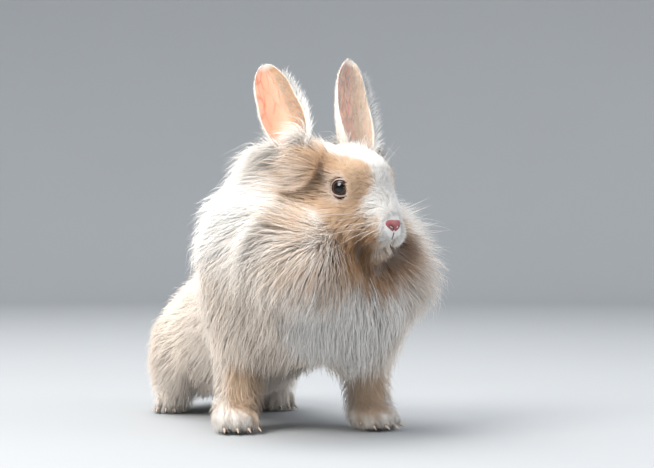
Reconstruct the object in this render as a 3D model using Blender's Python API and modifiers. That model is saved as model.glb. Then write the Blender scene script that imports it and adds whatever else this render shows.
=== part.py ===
"""A life-size lionhead rabbit, standing alert on its forelegs with its head turned a little to its left.

The whole coat is modelled as one form and then parted with thin cuts into the parts that a person would
name. The rabbit faces -Y, its left side is +X, and the floor is z = 0. Sizes are in millimetres in the
tables below and become metres in the helpers.
"""

import math
from collections import namedtuple

import bmesh
import bpy
from mathutils import Matrix, Vector

MM = 0.001

# Driving sizes, in millimetres
EYE_HEIGHT = 183
EAR_LENGTH = 88
EAR_HALF_WIDTH = 25
EAR_THICKNESS = 3.0
EYE_RADIUS = 8.2
EYE_SPREAD = 17.5
RUMP_END = 246
CHEST_END = -40
PART_GAP = 0.3
SLIVER = 0.02
TOE_STEP = 8.4
HIND_TOE_STEP = 6.8
CLAW_LENGTH = 7
CLAW_RADIUS = 1.3

# How finely the coat's form is made
COAT_VOXEL = 2.2
COAT_SMOOTHING = 14
COAT_TRIANGLES = 2820
FINE_SHARE = 0.55

Lump = namedtuple("Lump", "name centre half pitch", defaults=(0,))
Station = namedtuple("Station", "along side top bottom half_width")
Look = namedtuple("Look", "name colour roughness")

LOOKS = {
    "coat_cream": Look("coat_cream", (0.72, 0.58, 0.45), 0.9),
    "coat_white": Look("coat_white", (0.86, 0.80, 0.72), 0.9),
    "coat_tan": Look("coat_tan", (0.56, 0.35, 0.19), 0.9),
    "ear_skin": Look("ear_skin", (0.78, 0.47, 0.35), 0.7),
    "eye_dark": Look("eye_dark", (0.02, 0.012, 0.01), 0.08),
    "nose_pink": Look("nose_pink", (0.45, 0.13, 0.13), 0.5),
    "claw_horn": Look("claw_horn", (0.70, 0.58, 0.46), 0.4),
}


class Place:
    """A spot on the floor plan with a heading: it turns forward, left and up into world metres."""

    def __init__(self, x, y, z, heading):
        self.origin = Vector((x, y, z))
        turn = math.radians(heading)
        self.forward = Vector((math.sin(turn), -math.cos(turn), 0))
        self.left = Vector((math.cos(turn), math.sin(turn), 0))
        self.up = Vector((0, 0, 1))

    def point(self, forward, left, up):
        offset = self.forward * forward + self.left * left + self.up * up
        return (self.origin + offset) * MM

    def direction(self, forward, left, up):
        return (self.forward * forward + self.left * left + self.up * up).normalized()

    def axes(self, pitch=0):
        """The rotation whose columns are forward, left and up, with the nose end tipped down by pitch."""
        turn = Matrix((self.forward, self.left, self.up)).transposed()
        return (turn @ Matrix.Rotation(math.radians(pitch), 3, "Y")).to_4x4()


# The spine curves to the rabbit's left: the hips point to its right, the head to its left
BODY = Place(0, 0, 0, 0)
HEAD = Place(18, -33, EYE_HEIGHT, 15)
HIPS = Place(8, 205, 0, -15)
FOREPAWS = {"right": Place(-50, 42, 0, -8), "left": Place(51, 12, 0, 12)}
HIND_FEET = {"right": Place(-33, 217, 0, -22), "left": Place(50, 194, 0, -6)}
SIDES = {"right": -1, "left": 1}

# Each lump is given as (forward, left, up) from its place, then half its length, width and height
HEAD_LUMPS = (
    Lump("braincase", (-15, 0, 4), (33, 26, 30)),
    Lump("forehead", (2, 0, 4), (25, 20, 24)),
    Lump("bridge", (18, 0, -9), (25, 14, 13.5), 45),
    Lump("muzzle", (25, 0, -27), (15, 13, 13)),
    Lump("chin", (19, 0, -44), (13, 10, 9)),
    Lump("throat", (-2, 0, -38), (26, 26, 22)),
)
HEAD_PAIRS = (
    Lump("lip", (28, 6, -33), (11, 9, 9.5)),
    Lump("brow", (2, 13, 9), (15, 11, 10.5)),
    Lump("eye_rim", (1, 14.5, -1), (15, 10.5, 13)),
    Lump("cheek", (-5, 17, -22), (28, 19, 21)),
    Lump("jowl", (14, 22, -38), (18, 18, 20)),
    Lump("ear_wool", (-27, 24, 20), (19, 16, 19)),
    Lump("temple", (-27, 22, -6), (22, 18, 24)),
    Lump("cheek_fluff", (-14, 36, -4), (18, 18, 24)),
    Lump("cheek_ruff", (0, 48, -57), (32, 37, 33)),
    Lump("ruff_side", (-28, 55, -42), (38, 32, 42)),
)
HEAD_HOLLOWS = (Lump("orbit", (3, 34, 0), (16, 14, 12)),)
MANE_LUMPS = (
    Lump("mane", (-24, -2, 147), (69, 80, 60)),
    Lump("nape", (-24, -6, 186), (49, 52, 40)),
    Lump("bib", (6, 10, 104), (43, 66, 52), 12),
)
HIP_LUMPS = (
    Lump("rump", (-6, 0, 65), (40, 52, 49)),
    Lump("tail", (-47, 0, 52), (12, 15, 23), -14),
)
HIP_PAIRS = (Lump("thigh", (28, 39, 50), (50, 25, 42)),)

# The trunk's sections from front to back, along Y
TRUNK = (
    Station(CHEST_END, 12, 150, 74, 42),
    Station(0, 8, 166, 52, 72),
    Station(35, 3, 168, 46, 73),
    Station(75, -3, 152, 32, 61),
    Station(120, -3, 141, 17, 57),
    Station(170, 2, 128, 9, 58),
    Station(212, 8, 115, 9, 54),
    Station(RUMP_END, 14, 88, 28, 38),
)


def clear_scene():
    for item in list(bpy.data.objects):
        bpy.data.objects.remove(item)


def collection_named(name, hidden=False):
    group = bpy.data.collections.new(name)
    bpy.context.scene.collection.children.link(group)
    group.hide_render = hidden
    return group


def material_named(name):
    look = LOOKS[name]
    material = bpy.data.materials.get(look.name) or bpy.data.materials.new(look.name)
    material.use_nodes = True
    shader = material.node_tree.nodes["Principled BSDF"]
    shader.inputs["Base Color"].default_value = (*look.colour, 1)
    shader.inputs["Roughness"].default_value = look.roughness
    shader.inputs["Metallic"].default_value = 0
    return material


def object_from(mesh_maker, name, group):
    """Makes an object whose mesh is filled by mesh_maker(bm)."""
    bm = bmesh.new()
    mesh_maker(bm)
    mesh = bpy.data.meshes.new(name)
    bm.to_mesh(mesh)
    bm.free()
    made = bpy.data.objects.new(name, mesh)
    group.objects.link(made)
    return made


def add_ellipsoid(bm, place, lump, side=1, grow=0, rings=12):
    """Adds one lump of the body as a closed ellipsoid, on the given side of its place."""
    forward, left, up = lump.centre
    half = [(size + grow) * MM for size in lump.half]
    shape = Matrix.Translation(place.point(forward, side * left, up))
    shape = shape @ place.axes(lump.pitch) @ Matrix.Diagonal((*half, 1))
    bmesh.ops.create_uvsphere(bm, u_segments=2 * rings, v_segments=rings, radius=1, matrix=shape)


def blend(values, amount):
    """Reads a smooth curve through equally spaced values, at amount from 0 to 1."""
    place = amount * (len(values) - 1)
    first = min(int(place), len(values) - 2)
    part = place - first
    ends = (max(first - 1, 0), first, first + 1, min(first + 2, len(values) - 1))
    before, start, end, after = (values[index] for index in ends)
    bend = 2 * before - 5 * start + 4 * end - after
    twist = -before + 3 * start - 3 * end + after
    return start + part * ((end - before) + part * (bend + part * twist)) / 2


def add_limb(bm, points, radii, step=2.5):
    """Adds a row of overlapping balls along a smooth curve through the points, as thick as the radii."""
    length = sum((b - a).length for a, b in zip(points, points[1:]))
    count = int(length / (step * MM))
    for index in range(count + 1):
        amount = index / count
        centre = blend(points, amount)
        radius = blend(radii, amount) * MM
        bmesh.ops.create_icosphere(bm, subdivisions=3, radius=radius, matrix=Matrix.Translation(centre))


def station_at(along):
    """The trunk's section at this Y, read between its neighbours with an eased step."""
    for before, after in zip(TRUNK, TRUNK[1:]):
        if along <= after.along:
            break
    share = max((along - before.along) / (after.along - before.along), 0)
    eased = share * share * (3 - 2 * share)
    pairs = zip(before, after)
    return Station(*(a + (b - a) * eased for a, b in pairs))._replace(along=along)


def add_trunk(bm):
    """Adds the trunk: a ball drawn out along Y, with each ring set to the section there."""
    made = bmesh.ops.create_uvsphere(bm, u_segments=40, v_segments=48, radius=1)
    middle = (RUMP_END + CHEST_END) / 2
    reach = (RUMP_END - CHEST_END) / 2
    for vert in made["verts"]:
        across, height, along = vert.co
        ring = math.hypot(across, height)
        fullness = (1 - along**4) ** 0.5 / ring if ring > 1e-6 else 0
        section = station_at(middle + reach * along)
        half_height = (section.top - section.bottom) / 2
        x = section.side + across * fullness * section.half_width
        z = section.bottom + half_height + height * fullness * half_height
        vert.co = Vector((x, section.along, z)) * MM


def toe_setback(spread):
    """How far an outer toe stands behind the middle ones."""
    return 0.03 * spread * spread


def add_foreleg(bm, side):
    """Adds a foreleg: the paw flat on the floor, the forearm upright and the shoulder in the chest."""
    paw = FOREPAWS[side]
    sign = SIDES[side]
    add_ellipsoid(bm, paw, Lump("pad", (1, 0, 11), (23, 19, 13)))
    for toe in range(4):
        spread = (toe - 1.5) * TOE_STEP
        add_ellipsoid(bm, paw, Lump("toe", (15 - toe_setback(spread), spread, 9), (10, 5.6, 9.5)))
    lean = 1.5 if side == "left" else -5
    wrist = paw.point(-7, sign * lean, 24)
    elbow = paw.point(-12, sign * lean * 1.6, 64)
    shoulder = paw.point(-4, -8 * sign, 112)
    add_limb(bm, [paw.point(-4, 0, 14), wrist, elbow, shoulder], [16, 18.5, 22, 31])


def add_hind_foot(bm, side):
    """Adds a long hind foot, flat on the floor from the heel to the toes."""
    foot = HIND_FEET[side]
    add_limb(bm, [foot.point(-28, 0, 11), foot.point(0, 0, 11.5), foot.point(22, 0, 11)], [12, 13, 13.5])
    for toe in range(4):
        spread = (toe - 1.5) * HIND_TOE_STEP
        add_ellipsoid(bm, foot, Lump("toe", (30 - toe_setback(spread), spread, 9), (10, 5, 9.5)))


def fill_coat(bm):
    """Joins every rough shape of the body into one mesh of overlapping closed shells."""
    add_trunk(bm)
    for lump in HEAD_LUMPS:
        add_ellipsoid(bm, HEAD, lump)
    for lump in MANE_LUMPS:
        add_ellipsoid(bm, BODY, lump)
    for lump in HIP_LUMPS:
        add_ellipsoid(bm, HIPS, lump)
    for side, sign in SIDES.items():
        for lump in HEAD_PAIRS:
            add_ellipsoid(bm, HEAD, lump, sign)
        for lump in HIP_PAIRS:
            add_ellipsoid(bm, HIPS, lump, sign)
        add_foreleg(bm, side)
        add_hind_foot(bm, side)


def fill_hollows(bm):
    """The shallow hollows around the eyes, where the coat is short."""
    for lump in HEAD_HOLLOWS:
        for sign in SIDES.values():
            add_ellipsoid(bm, HEAD, lump, sign)


def baked(item):
    """Replaces the object's mesh by what its modifiers make of it, and drops the modifiers."""
    bpy.context.view_layer.update()
    evaluated = item.evaluated_get(bpy.context.evaluated_depsgraph_get())
    mesh = bpy.data.meshes.new_from_object(evaluated)
    mesh.name = item.name
    item.modifiers.clear()
    item.data = mesh
    return item


def mark_fine_areas(item):
    """Weights the face and the feet, where the coat is short and the form needs more faces."""
    group = item.vertex_groups.new(name="fine")
    face = HEAD.point(8, 0, -14)
    for vert in item.data.vertices:
        near_face = 1 - ((vert.co - face).length / MM - 30) / 18
        near_floor = 1 - (vert.co.z / MM - 26) / 14
        weight = min(max(near_face, near_floor, 0), 1)
        group.add([vert.index], FINE_SHARE * (1 - weight) + (1 - FINE_SHARE) * 0.02, "REPLACE")
    return group.name


def add_fuse(item):
    """Adds the modifier that rebuilds overlapping shells as one even closed surface."""
    fuse = item.modifiers.new("fuse", "REMESH")
    fuse.mode = "VOXEL"
    fuse.voxel_size = COAT_VOXEL * MM


def make_coat(group):
    """Fuses the rough shapes into one smooth closed form and thins its faces."""
    coat = object_from(fill_coat, "coat", group)
    add_fuse(coat)
    hollow = coat.modifiers.new("hollow", "BOOLEAN")
    hollow.operation = "DIFFERENCE"
    hollow.object = object_from(fill_hollows, "hollows", group)
    add_fuse(coat)
    smooth = coat.modifiers.new("soften", "SMOOTH")
    smooth.factor = 0.5
    smooth.iterations = COAT_SMOOTHING
    baked(coat)
    fine_group = mark_fine_areas(coat)
    faces = sum(len(face.vertices) - 2 for face in coat.data.polygons)
    thin = coat.modifiers.new("thin", "DECIMATE")
    thin.ratio = COAT_TRIANGLES / faces
    thin.vertex_group = fine_group
    return baked(coat)


def largest_piece(item):
    """Splits the faces to triangles, drops slivers and keeps the largest connected piece."""
    bm = bmesh.new()
    bm.from_mesh(item.data)
    bmesh.ops.triangulate(bm, faces=bm.faces)
    bmesh.ops.dissolve_degenerate(bm, dist=SLIVER * MM, edges=bm.edges)
    bmesh.ops.triangulate(bm, faces=bm.faces)
    waiting = set(bm.verts)
    pieces = []
    while waiting:
        edge_of = [waiting.pop()]
        piece = set(edge_of)
        while edge_of:
            for edge in edge_of.pop().link_edges:
                for vert in edge.verts:
                    if vert in waiting:
                        waiting.discard(vert)
                        piece.add(vert)
                        edge_of.append(vert)
        pieces.append(piece)
    keep = max(pieces, key=len)
    spare = [vert for vert in bm.verts if vert not in keep]
    bmesh.ops.delete(bm, geom=spare, context="VERTS")
    bm.to_mesh(item.data)
    bm.free()
    return item


def combined(item, tool, operation):
    """Applies one exact Boolean to the object and keeps its largest piece."""
    cut = item.modifiers.new("cut", "BOOLEAN")
    cut.operation = operation
    cut.solver = "EXACT"
    cut.object = tool
    return largest_piece(baked(item))


def copy_of(item, name, group):
    twin = item.copy()
    twin.data = item.data.copy()
    twin.name = name
    group.objects.link(twin)
    return twin


def swollen(item, amount, name, group):
    """A copy of the object with its surface moved out by amount, in millimetres."""
    twin = copy_of(item, name, group)
    push = twin.modifiers.new("swell", "DISPLACE")
    push.strength = amount * MM
    push.mid_level = 0
    return baked(twin)


def part_off(rest, name, shape_maker, group, cutters):
    """Takes the named part out of the rest along a closed shape, and leaves the gap between them."""
    part = copy_of(rest, name, group)
    cell = object_from(shape_maker, name + "_cell", cutters)
    combined(part, cell, "INTERSECT")
    grown = swollen(cell, PART_GAP, name + "_gap", cutters)
    combined(rest, grown, "DIFFERENCE")
    return part


def finish(item, look, sharp=50):
    """Gives the part its material and smooth shading."""
    item.data.materials.clear()
    item.data.materials.append(material_named(look))
    item.data.shade_smooth()
    item.data.set_sharp_from_angle(angle=math.radians(sharp))


def floor_shape(bm):
    """A slab under the floor: what it takes away leaves the flats that the feet stand on."""
    slab = Matrix.Translation((0, 0.1, -0.05)) @ Matrix.Diagonal((0.6, 0.8, 0.1, 1))
    bmesh.ops.create_cube(bm, size=1, matrix=slab)


def head_shape(bm):
    add_ellipsoid(bm, HEAD, Lump("head", (-2, 0, -6), (56, 45, 58)), rings=8)


def neck_shape(bm):
    add_ellipsoid(bm, BODY, Lump("neck", (10, 0, 170), (94, 150, 90)), rings=8)


def foreleg_shape(side):
    """A round-topped column around a foreleg, up to the shoulder."""
    paw = FOREPAWS[side]
    lump = Lump("foreleg", (-8, 0, 20), (42, 38, 80))
    return lambda bm: add_ellipsoid(bm, paw, lump, rings=7)


def below_shape(height, place):
    """A block that holds all of a leg under this height."""
    block = Matrix.Translation(place.point(0, 0, height / 2 - 20)) @ place.axes()
    block = block @ Matrix.Diagonal((0.13, 0.09, (height + 40) * MM, 1))
    return lambda bm: bmesh.ops.create_cube(bm, size=1, matrix=block)


def thigh_shape(side):
    lump = Lump("thigh", (26, 46, 44), (62, 32, 56))
    return lambda bm: add_ellipsoid(bm, HIPS, lump, SIDES[side], rings=7)


def hind_foot_shape(side):
    foot = HIND_FEET[side]
    return lambda bm: add_ellipsoid(bm, foot, Lump("hind_foot", (0, 0, 2), (56, 30, 22)), rings=6)


def tail_shape(bm):
    add_ellipsoid(bm, HIPS, Lump("tail", (-54, 0, 54), (15, 20, 30), -14), rings=6)


def eye_place(side):
    return HEAD.point(0, SIDES[side] * EYE_SPREAD, 0)


def add_eye(bm, side, radius):
    where = Matrix.Translation(eye_place(side))
    bmesh.ops.create_uvsphere(bm, u_segments=16, v_segments=9, radius=radius * MM, matrix=where)


def add_nose(bm, grow=0):
    add_ellipsoid(bm, HEAD, Lump("nose", (36, 0, -27), (4.2, 6.2, 4.6), 25), grow=grow, rings=6)


def ear_axes(side):
    """The ear's root, its tip, and the way its opening faces."""
    sign = SIDES[side]
    root = HEAD.point(-40, sign * 26, 17)
    if side == "right":
        rise = HEAD.direction(-36, -1, 73)
        opening = HEAD.direction(0.80, -0.60, 0)
    else:
        rise = HEAD.direction(-14, 12, 82)
        opening = HEAD.direction(1, -0.08, 0)
    opening = (opening - rise * opening.dot(rise)).normalized()
    return root, rise, opening


def ear_half_arc(amount):
    """Half the ear's width along its curve: a leaf, widest low down and round at the tip."""
    leaf = (1 - amount**3.4) ** 0.6
    return EAR_HALF_WIDTH * MM * leaf * (0.86 + 0.14 * math.sin(math.pi * min(amount * 1.6, 1)))


def fill_ear(bm, side, rows=12, columns=8):
    """The ear as an open sheet: arcs that are nearly closed at the root and open out towards the tip."""
    root, rise, opening = ear_axes(side)
    across = rise.cross(opening)
    grid = []
    for row in range(rows + 1):
        amount = 0.985 * row / rows
        half_angle = math.radians(132 - 82 * min(amount * 1.25, 1) ** 0.8)
        radius = ear_half_arc(amount) / half_angle
        curl_back = 0.06 * math.sin(math.pi * amount) * EAR_LENGTH * MM
        spine = root + rise * amount * EAR_LENGTH * MM - opening * curl_back
        line = []
        for column in range(columns + 1):
            angle = half_angle * (2 * column / columns - 1)
            offset = across * radius * math.sin(angle) + opening * radius * (1 - math.cos(angle))
            line.append(bm.verts.new(spine + offset))
        grid.append(line)
    for low, high in zip(grid, grid[1:]):
        for column in range(columns):
            bm.faces.new((low[column], low[column + 1], high[column + 1], high[column]))


def make_ear(side, blocker, group):
    """The ear's sheet given its thickness, without what would lie inside the coat."""
    ear = object_from(lambda bm: fill_ear(bm, side), "ear_" + side, group)
    shell = ear.modifiers.new("thickness", "SOLIDIFY")
    shell.thickness = EAR_THICKNESS * MM
    shell.offset = 0
    baked(ear)
    combined(ear, blocker, "DIFFERENCE")
    finish(ear, "ear_skin")
    return ear


def make_claw(name, start, ahead, blocker, group):
    """A claw as a short bent tube that narrows to its tip, without what would lie inside the paw."""
    curve = bpy.data.curves.new(name, "CURVE")
    curve.dimensions = "3D"
    curve.bevel_depth = CLAW_RADIUS * MM
    curve.bevel_resolution = 1
    curve.use_fill_caps = True
    spline = curve.splines.new("POLY")
    steps = 3
    spline.points.add(steps)
    drop = Vector((0, 0, -1))
    for index, point in enumerate(spline.points):
        amount = index / steps
        reach = ahead * CLAW_LENGTH * MM * amount + drop * 1.8 * MM * amount * amount
        point.co = (*(start + reach), 1)
        point.radius = 1 - 0.8 * amount**1.5
    drawn = bpy.data.objects.new(name + "_curve", curve)
    group.objects.link(drawn)
    bpy.context.view_layer.update()
    mesh = bpy.data.meshes.new_from_object(drawn.evaluated_get(bpy.context.evaluated_depsgraph_get()))
    bpy.data.objects.remove(drawn)
    bm = bmesh.new()
    bm.from_mesh(mesh)
    bmesh.ops.remove_doubles(bm, verts=bm.verts, dist=0.00001)
    bmesh.ops.recalc_face_normals(bm, faces=bm.faces)
    bm.to_mesh(mesh)
    bm.free()
    claw = bpy.data.objects.new(name, mesh)
    group.objects.link(claw)
    combined(claw, blocker, "DIFFERENCE")
    finish(claw, "claw_horn")
    return claw


def make_claws(blocker, group):
    """Five claws on each forefoot, with the dew claw on the inner side, and four on each hind foot."""
    for side, sign in SIDES.items():
        paw = FOREPAWS[side]
        for toe in range(4):
            spread = (toe - 1.5) * TOE_STEP
            reach = 21 - toe_setback(spread)
            ahead = paw.direction(1, 0.02 * spread, -0.12)
            make_claw(f"claw_fore_{side}_{toe + 1}", paw.point(reach, spread, 5.2), ahead, blocker, group)
        dew_start = paw.point(4, -sign * 14, 9)
        dew_ahead = paw.direction(0.75, -0.6 * sign, -0.2)
        make_claw(f"claw_fore_{side}_5", dew_start, dew_ahead, blocker, group)
        foot = HIND_FEET[side]
        for toe in range(4):
            spread = (toe - 1.5) * HIND_TOE_STEP
            reach = 36 - toe_setback(spread)
            ahead = foot.direction(1, 0.02 * spread, -0.12)
            make_claw(f"claw_hind_{side}_{toe + 1}", foot.point(reach, spread, 5.2), ahead, blocker, group)


def centre_on_floor(group):
    """Moves every part so that the middle of the whole stands over the world's origin."""
    corners = [vert.co for item in group.objects for vert in item.data.vertices]
    middle_x = (min(c.x for c in corners) + max(c.x for c in corners)) / 2
    middle_y = (min(c.y for c in corners) + max(c.y for c in corners)) / 2
    lowest = min(c.z for c in corners)
    shift = Matrix.Translation((-middle_x, -middle_y, -lowest))
    for item in group.objects:
        item.data.transform(shift)


def main():
    clear_scene()
    parts = collection_named("lionhead_rabbit")
    cutters = collection_named("cutters", hidden=True)
    rest = make_coat(cutters)
    combined(rest, object_from(floor_shape, "floor", cutters), "DIFFERENCE")
    blocker = swollen(rest, PART_GAP, "coat_gap", cutters)

    for side in SIDES:
        make_ear(side, blocker, parts)
    make_claws(blocker, parts)

    head = part_off(rest, "head", head_shape, parts, cutters)
    for side in SIDES:
        leg = part_off(rest, "foreleg_" + side, foreleg_shape(side), parts, cutters)
        paw_block = below_shape(24, FOREPAWS[side])
        paw = part_off(leg, "forepaw_" + side, paw_block, parts, cutters)
        foot = part_off(rest, "hind_foot_" + side, hind_foot_shape(side), parts, cutters)
        thigh = part_off(rest, "thigh_" + side, thigh_shape(side), parts, cutters)
        for item in (leg, thigh):
            finish(item, "coat_cream")
        for item in (paw, foot):
            finish(item, "coat_white")
    tail = part_off(rest, "tail", tail_shape, parts, cutters)
    neck = part_off(rest, "neck", neck_shape, parts, cutters)
    rest.name = "trunk"
    parts.objects.link(rest)
    cutters.objects.unlink(rest)

    for side in SIDES:
        eye = object_from(lambda bm: add_eye(bm, side, EYE_RADIUS), "eye_" + side, parts)
        socket = object_from(lambda bm: add_eye(bm, side, EYE_RADIUS + PART_GAP), "socket_" + side, cutters)
        combined(head, socket, "DIFFERENCE")
        finish(eye, "eye_dark")
    nose = object_from(add_nose, "nose", parts)
    combined(head, object_from(lambda bm: add_nose(bm, PART_GAP), "nose_gap", cutters), "DIFFERENCE")
    finish(nose, "nose_pink")
    finish(head, "coat_tan")
    finish(neck, "coat_white")
    finish(tail, "coat_white")
    finish(rest, "coat_cream")
    centre_on_floor(parts)
    for item in cutters.objects:
        item.hide_render = True
        item.display_type = "WIRE"


main()
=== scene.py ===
"""The looks of a life-size lionhead rabbit: one skin, a coat of solid tufts, ears, eyes, nose and whiskers.

Lengths are millimetres in the tables and functions, and become metres where a mesh is made. The rabbit
faces -Y, its left side is +X and the floor is z = 0. A place on the body is given as (forward, left, up).
"""

import functools
import math
from collections import namedtuple

import bpy
import numpy as np
from mathutils import Matrix, Vector


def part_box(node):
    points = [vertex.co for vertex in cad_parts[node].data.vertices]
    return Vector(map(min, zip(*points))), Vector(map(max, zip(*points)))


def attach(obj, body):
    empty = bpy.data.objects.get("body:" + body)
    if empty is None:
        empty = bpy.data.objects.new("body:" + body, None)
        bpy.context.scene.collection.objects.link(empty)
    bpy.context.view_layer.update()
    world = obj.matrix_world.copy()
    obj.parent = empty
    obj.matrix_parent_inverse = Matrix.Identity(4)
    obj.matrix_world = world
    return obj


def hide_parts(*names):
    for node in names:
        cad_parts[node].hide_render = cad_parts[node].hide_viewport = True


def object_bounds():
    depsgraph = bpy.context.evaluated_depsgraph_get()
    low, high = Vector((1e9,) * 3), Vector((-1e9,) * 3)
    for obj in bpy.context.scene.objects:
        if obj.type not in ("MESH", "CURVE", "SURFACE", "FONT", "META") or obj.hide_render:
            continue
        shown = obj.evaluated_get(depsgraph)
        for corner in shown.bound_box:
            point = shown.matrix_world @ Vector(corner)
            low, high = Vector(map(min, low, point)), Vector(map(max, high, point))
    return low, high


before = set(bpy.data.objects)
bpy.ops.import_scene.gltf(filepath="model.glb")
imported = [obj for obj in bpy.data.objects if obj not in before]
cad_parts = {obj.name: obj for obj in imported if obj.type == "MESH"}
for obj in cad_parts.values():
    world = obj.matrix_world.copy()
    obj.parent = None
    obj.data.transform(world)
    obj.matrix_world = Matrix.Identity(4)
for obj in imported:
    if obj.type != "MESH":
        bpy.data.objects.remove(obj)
cad_low, cad_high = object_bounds()

bl_info = {
    "name": "Lionhead rabbit looks",
    "version": (1, 0, 0),
    "blender": (4, 5, 0),
    "location": "3D View > Sidebar > Rabbit",
    "description": "Builds the skin, coat, eyes, ears and stage of a life-size lionhead rabbit",
    "category": "Add Mesh",
}

MM = 0.001

Lump = namedtuple("Lump", "name centre half pitch", defaults=(0,))
Station = namedtuple("Station", "along side top bottom half_width")
Stroke = namedtuple("Stroke", "name centre flow spread length")
Patch = namedtuple("Patch", "name centre half amount")
Region = namedtuple("Region", "name count rings seeds middle slot")
EarHair = namedtuple(
    "EarHair",
    "name sides count along across length marks shorten rise spread lift sweep droop out",
    defaults=(0,) * 7,
)
Whisker = namedtuple("Whisker", "root way bend length")
Strands = namedtuple("Strands", "points outward form width markings tint")
Toes = namedtuple("Toes", "ahead up half step")
Lamp = namedtuple("Lamp", "name place size power colour")


class Place:
    """A spot with a heading, in millimetres: it turns (forward, left, up) into the row frame and back."""

    def __init__(self, origin, heading):
        turn = math.radians(heading)
        self.origin = np.array(origin, float)
        self.axes = np.array(
            (
                (math.sin(turn), -math.cos(turn), 0),
                (math.cos(turn), math.sin(turn), 0),
                (0, 0, 1),
            )
        )

    def point(self, forward, left, up):
        return self.origin + np.array((forward, left, up)) @ self.axes

    def direction(self, forward, left, up):
        return unit(np.array((forward, left, up), float) @ self.axes)

    def local(self, points):
        return (points - self.origin) @ self.axes.T


def unit(vectors):
    """Vectors of length one, along the last axis."""
    length = np.linalg.norm(vectors, axis=-1, keepdims=True)
    return vectors / np.maximum(length, 1e-9)


def box_middle(node):
    low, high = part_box(node)
    return (np.array(low) + np.array(high)) / 2 / MM


def ground_place(x, y, heading):
    """A place on the floor, given from the point that the solids are laid out from."""
    return Place(LAYOUT_ORIGIN + (x, y, 0), heading)


# Each side's sign, and the signs of a table's rows that stand as given or mirrored on both sides
SIDES = {"right": -1, "left": 1}
AS_GIVEN = (1,)
BOTH = (-1, 1)

# Driving sizes, from the frame where it holds them
EYES = {side: box_middle("eye_" + side) for side in SIDES}
HEAD_MIDDLE = (EYES["right"] + EYES["left"]) / 2
HEAD_OFFSET = np.array((18, -33, 183))
LAYOUT_ORIGIN = HEAD_MIDDLE - HEAD_OFFSET
EYE_RADIUS = 8.2
EAR_LENGTH = 88
EAR_HALF_WIDTH = 25

HEAD = Place(HEAD_MIDDLE, 15)
NOSE = HEAD.point(33, 0, -27.5)
BODY = ground_place(0, 0, 0)
HIPS = ground_place(8, 205, -15)
FOREPAWS = {"right": ground_place(-50, 42, -8), "left": ground_place(51, 12, 12)}
HIND_FEET = {"right": ground_place(-33, 217, -22), "left": ground_place(50, 194, -6)}

# The coat's outer form, as lumps given by their place and half sizes
COAT_HEAD = (
    Lump("braincase", (-15, 0, 4), (33, 26, 30)),
    Lump("forehead", (2, 0, 4), (25, 20, 24)),
    Lump("bridge", (18, 0, -9), (25, 14, 13.5), 45),
    Lump("muzzle", (25, 0, -27), (15, 13, 13)),
    Lump("chin", (19, 0, -44), (13, 10, 9)),
    Lump("throat", (-2, 0, -38), (26, 26, 22)),
)
COAT_HEAD_PAIRS = (
    Lump("lip", (28, 6, -33), (11, 9, 9.5)),
    Lump("brow", (2, 13, 9), (15, 11, 10.5)),
    Lump("eye_rim", (1, 14.5, -1), (15, 10.5, 13)),
    Lump("cheek", (-5, 17, -22), (28, 19, 21)),
    Lump("jowl", (14, 22, -38), (18, 18, 20)),
    Lump("ear_wool", (-28, 27, 22), (20, 18, 21)),
    Lump("temple", (-27, 22, -6), (22, 18, 24)),
)
COAT_RUFF = (
    Lump("cheek_fluff", (-14, 36, -4), (18, 18, 24)),
    Lump("cheek_ruff", (0, 48, -57), (32, 37, 33)),
    Lump("ruff_side", (-28, 55, -42), (38, 32, 42)),
)
ORBIT = Lump("orbit", (3, 34, 0), (16, 14, 12))
COAT_MANE = (
    Lump("mane", (-24, -2, 147), (69, 80, 60)),
    Lump("nape", (-24, -6, 186), (49, 52, 40)),
    Lump("bib", (6, 10, 104), (43, 66, 52), 12),
)
COAT_HIPS = (
    Lump("rump", (-6, 0, 65), (40, 52, 49)),
    Lump("tail", (-47, 0, 52), (12, 15, 23), -14),
)
COAT_HIP_PAIRS = (Lump("thigh", (28, 39, 50), (50, 25, 42)),)

# The bare body under the coat
SKIN_HEAD = (
    Lump("braincase", (-17, 0, 4), (27, 19.5, 23)),
    Lump("forehead", (3, 0, 4), (20, 15.5, 19)),
    Lump("muzzle", (22.5, 0, -27.5), (11, 10.5, 11)),
    Lump("throat", (-8, 0, -32), (20, 17, 15)),
)
SKIN_HEAD_PAIRS = (
    Lump("lip", (25.5, 5.5, -33), (8.5, 6.5, 7)),
    Lump("brow", (2, 12, 9), (12, 8.5, 8)),
    Lump("eye_rim", (0, 14, 0), (13, 8.5, 11)),
    Lump("cheek", (-6, 9, -20), (24, 13, 19)),
    Lump("ear_base", (-34, 19.5, 15), (13, 10.5, 13)),
)
CHIN = Lump("chin", (15.5, 0, -44.5), (9, 6, 5.5))
RUFF_ROD = ((-14, 8, -22), (-20, 33, -58))
RUFF_RADII = (14, 20)
BRIDGE_ROD = ((6, 0, 2), (27, 0, -21))
BRIDGE_RADII = (13.5, 9)
JAW_ROD = ((14, 0, -37), (-16, 0, -28))
JAW_RADII = (9, 18)
NECK_TOP = (-22, 0, -12)
NECK_FOOT = (-32, 0, 125)
NECK_RADII = (23, 36)
SKIN_MANE = (
    Lump("mane", (-26, -2, 142), (42, 52, 34)),
    Lump("nape", (-26, -4, 176), (28, 32, 26)),
    Lump("bib", (4, 10, 108), (26, 46, 36), 12),
)
SKIN_HIPS = (
    Lump("rump", (-6, 0, 65), (28, 40, 37)),
    Lump("tail", (-46, 0, 52), (7, 8, 15), -14),
)
SKIN_HIP_PAIRS = (Lump("thigh", (28, 39, 50), (40, 16, 33)),)
TRUNK_DEPTH = 13
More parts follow.
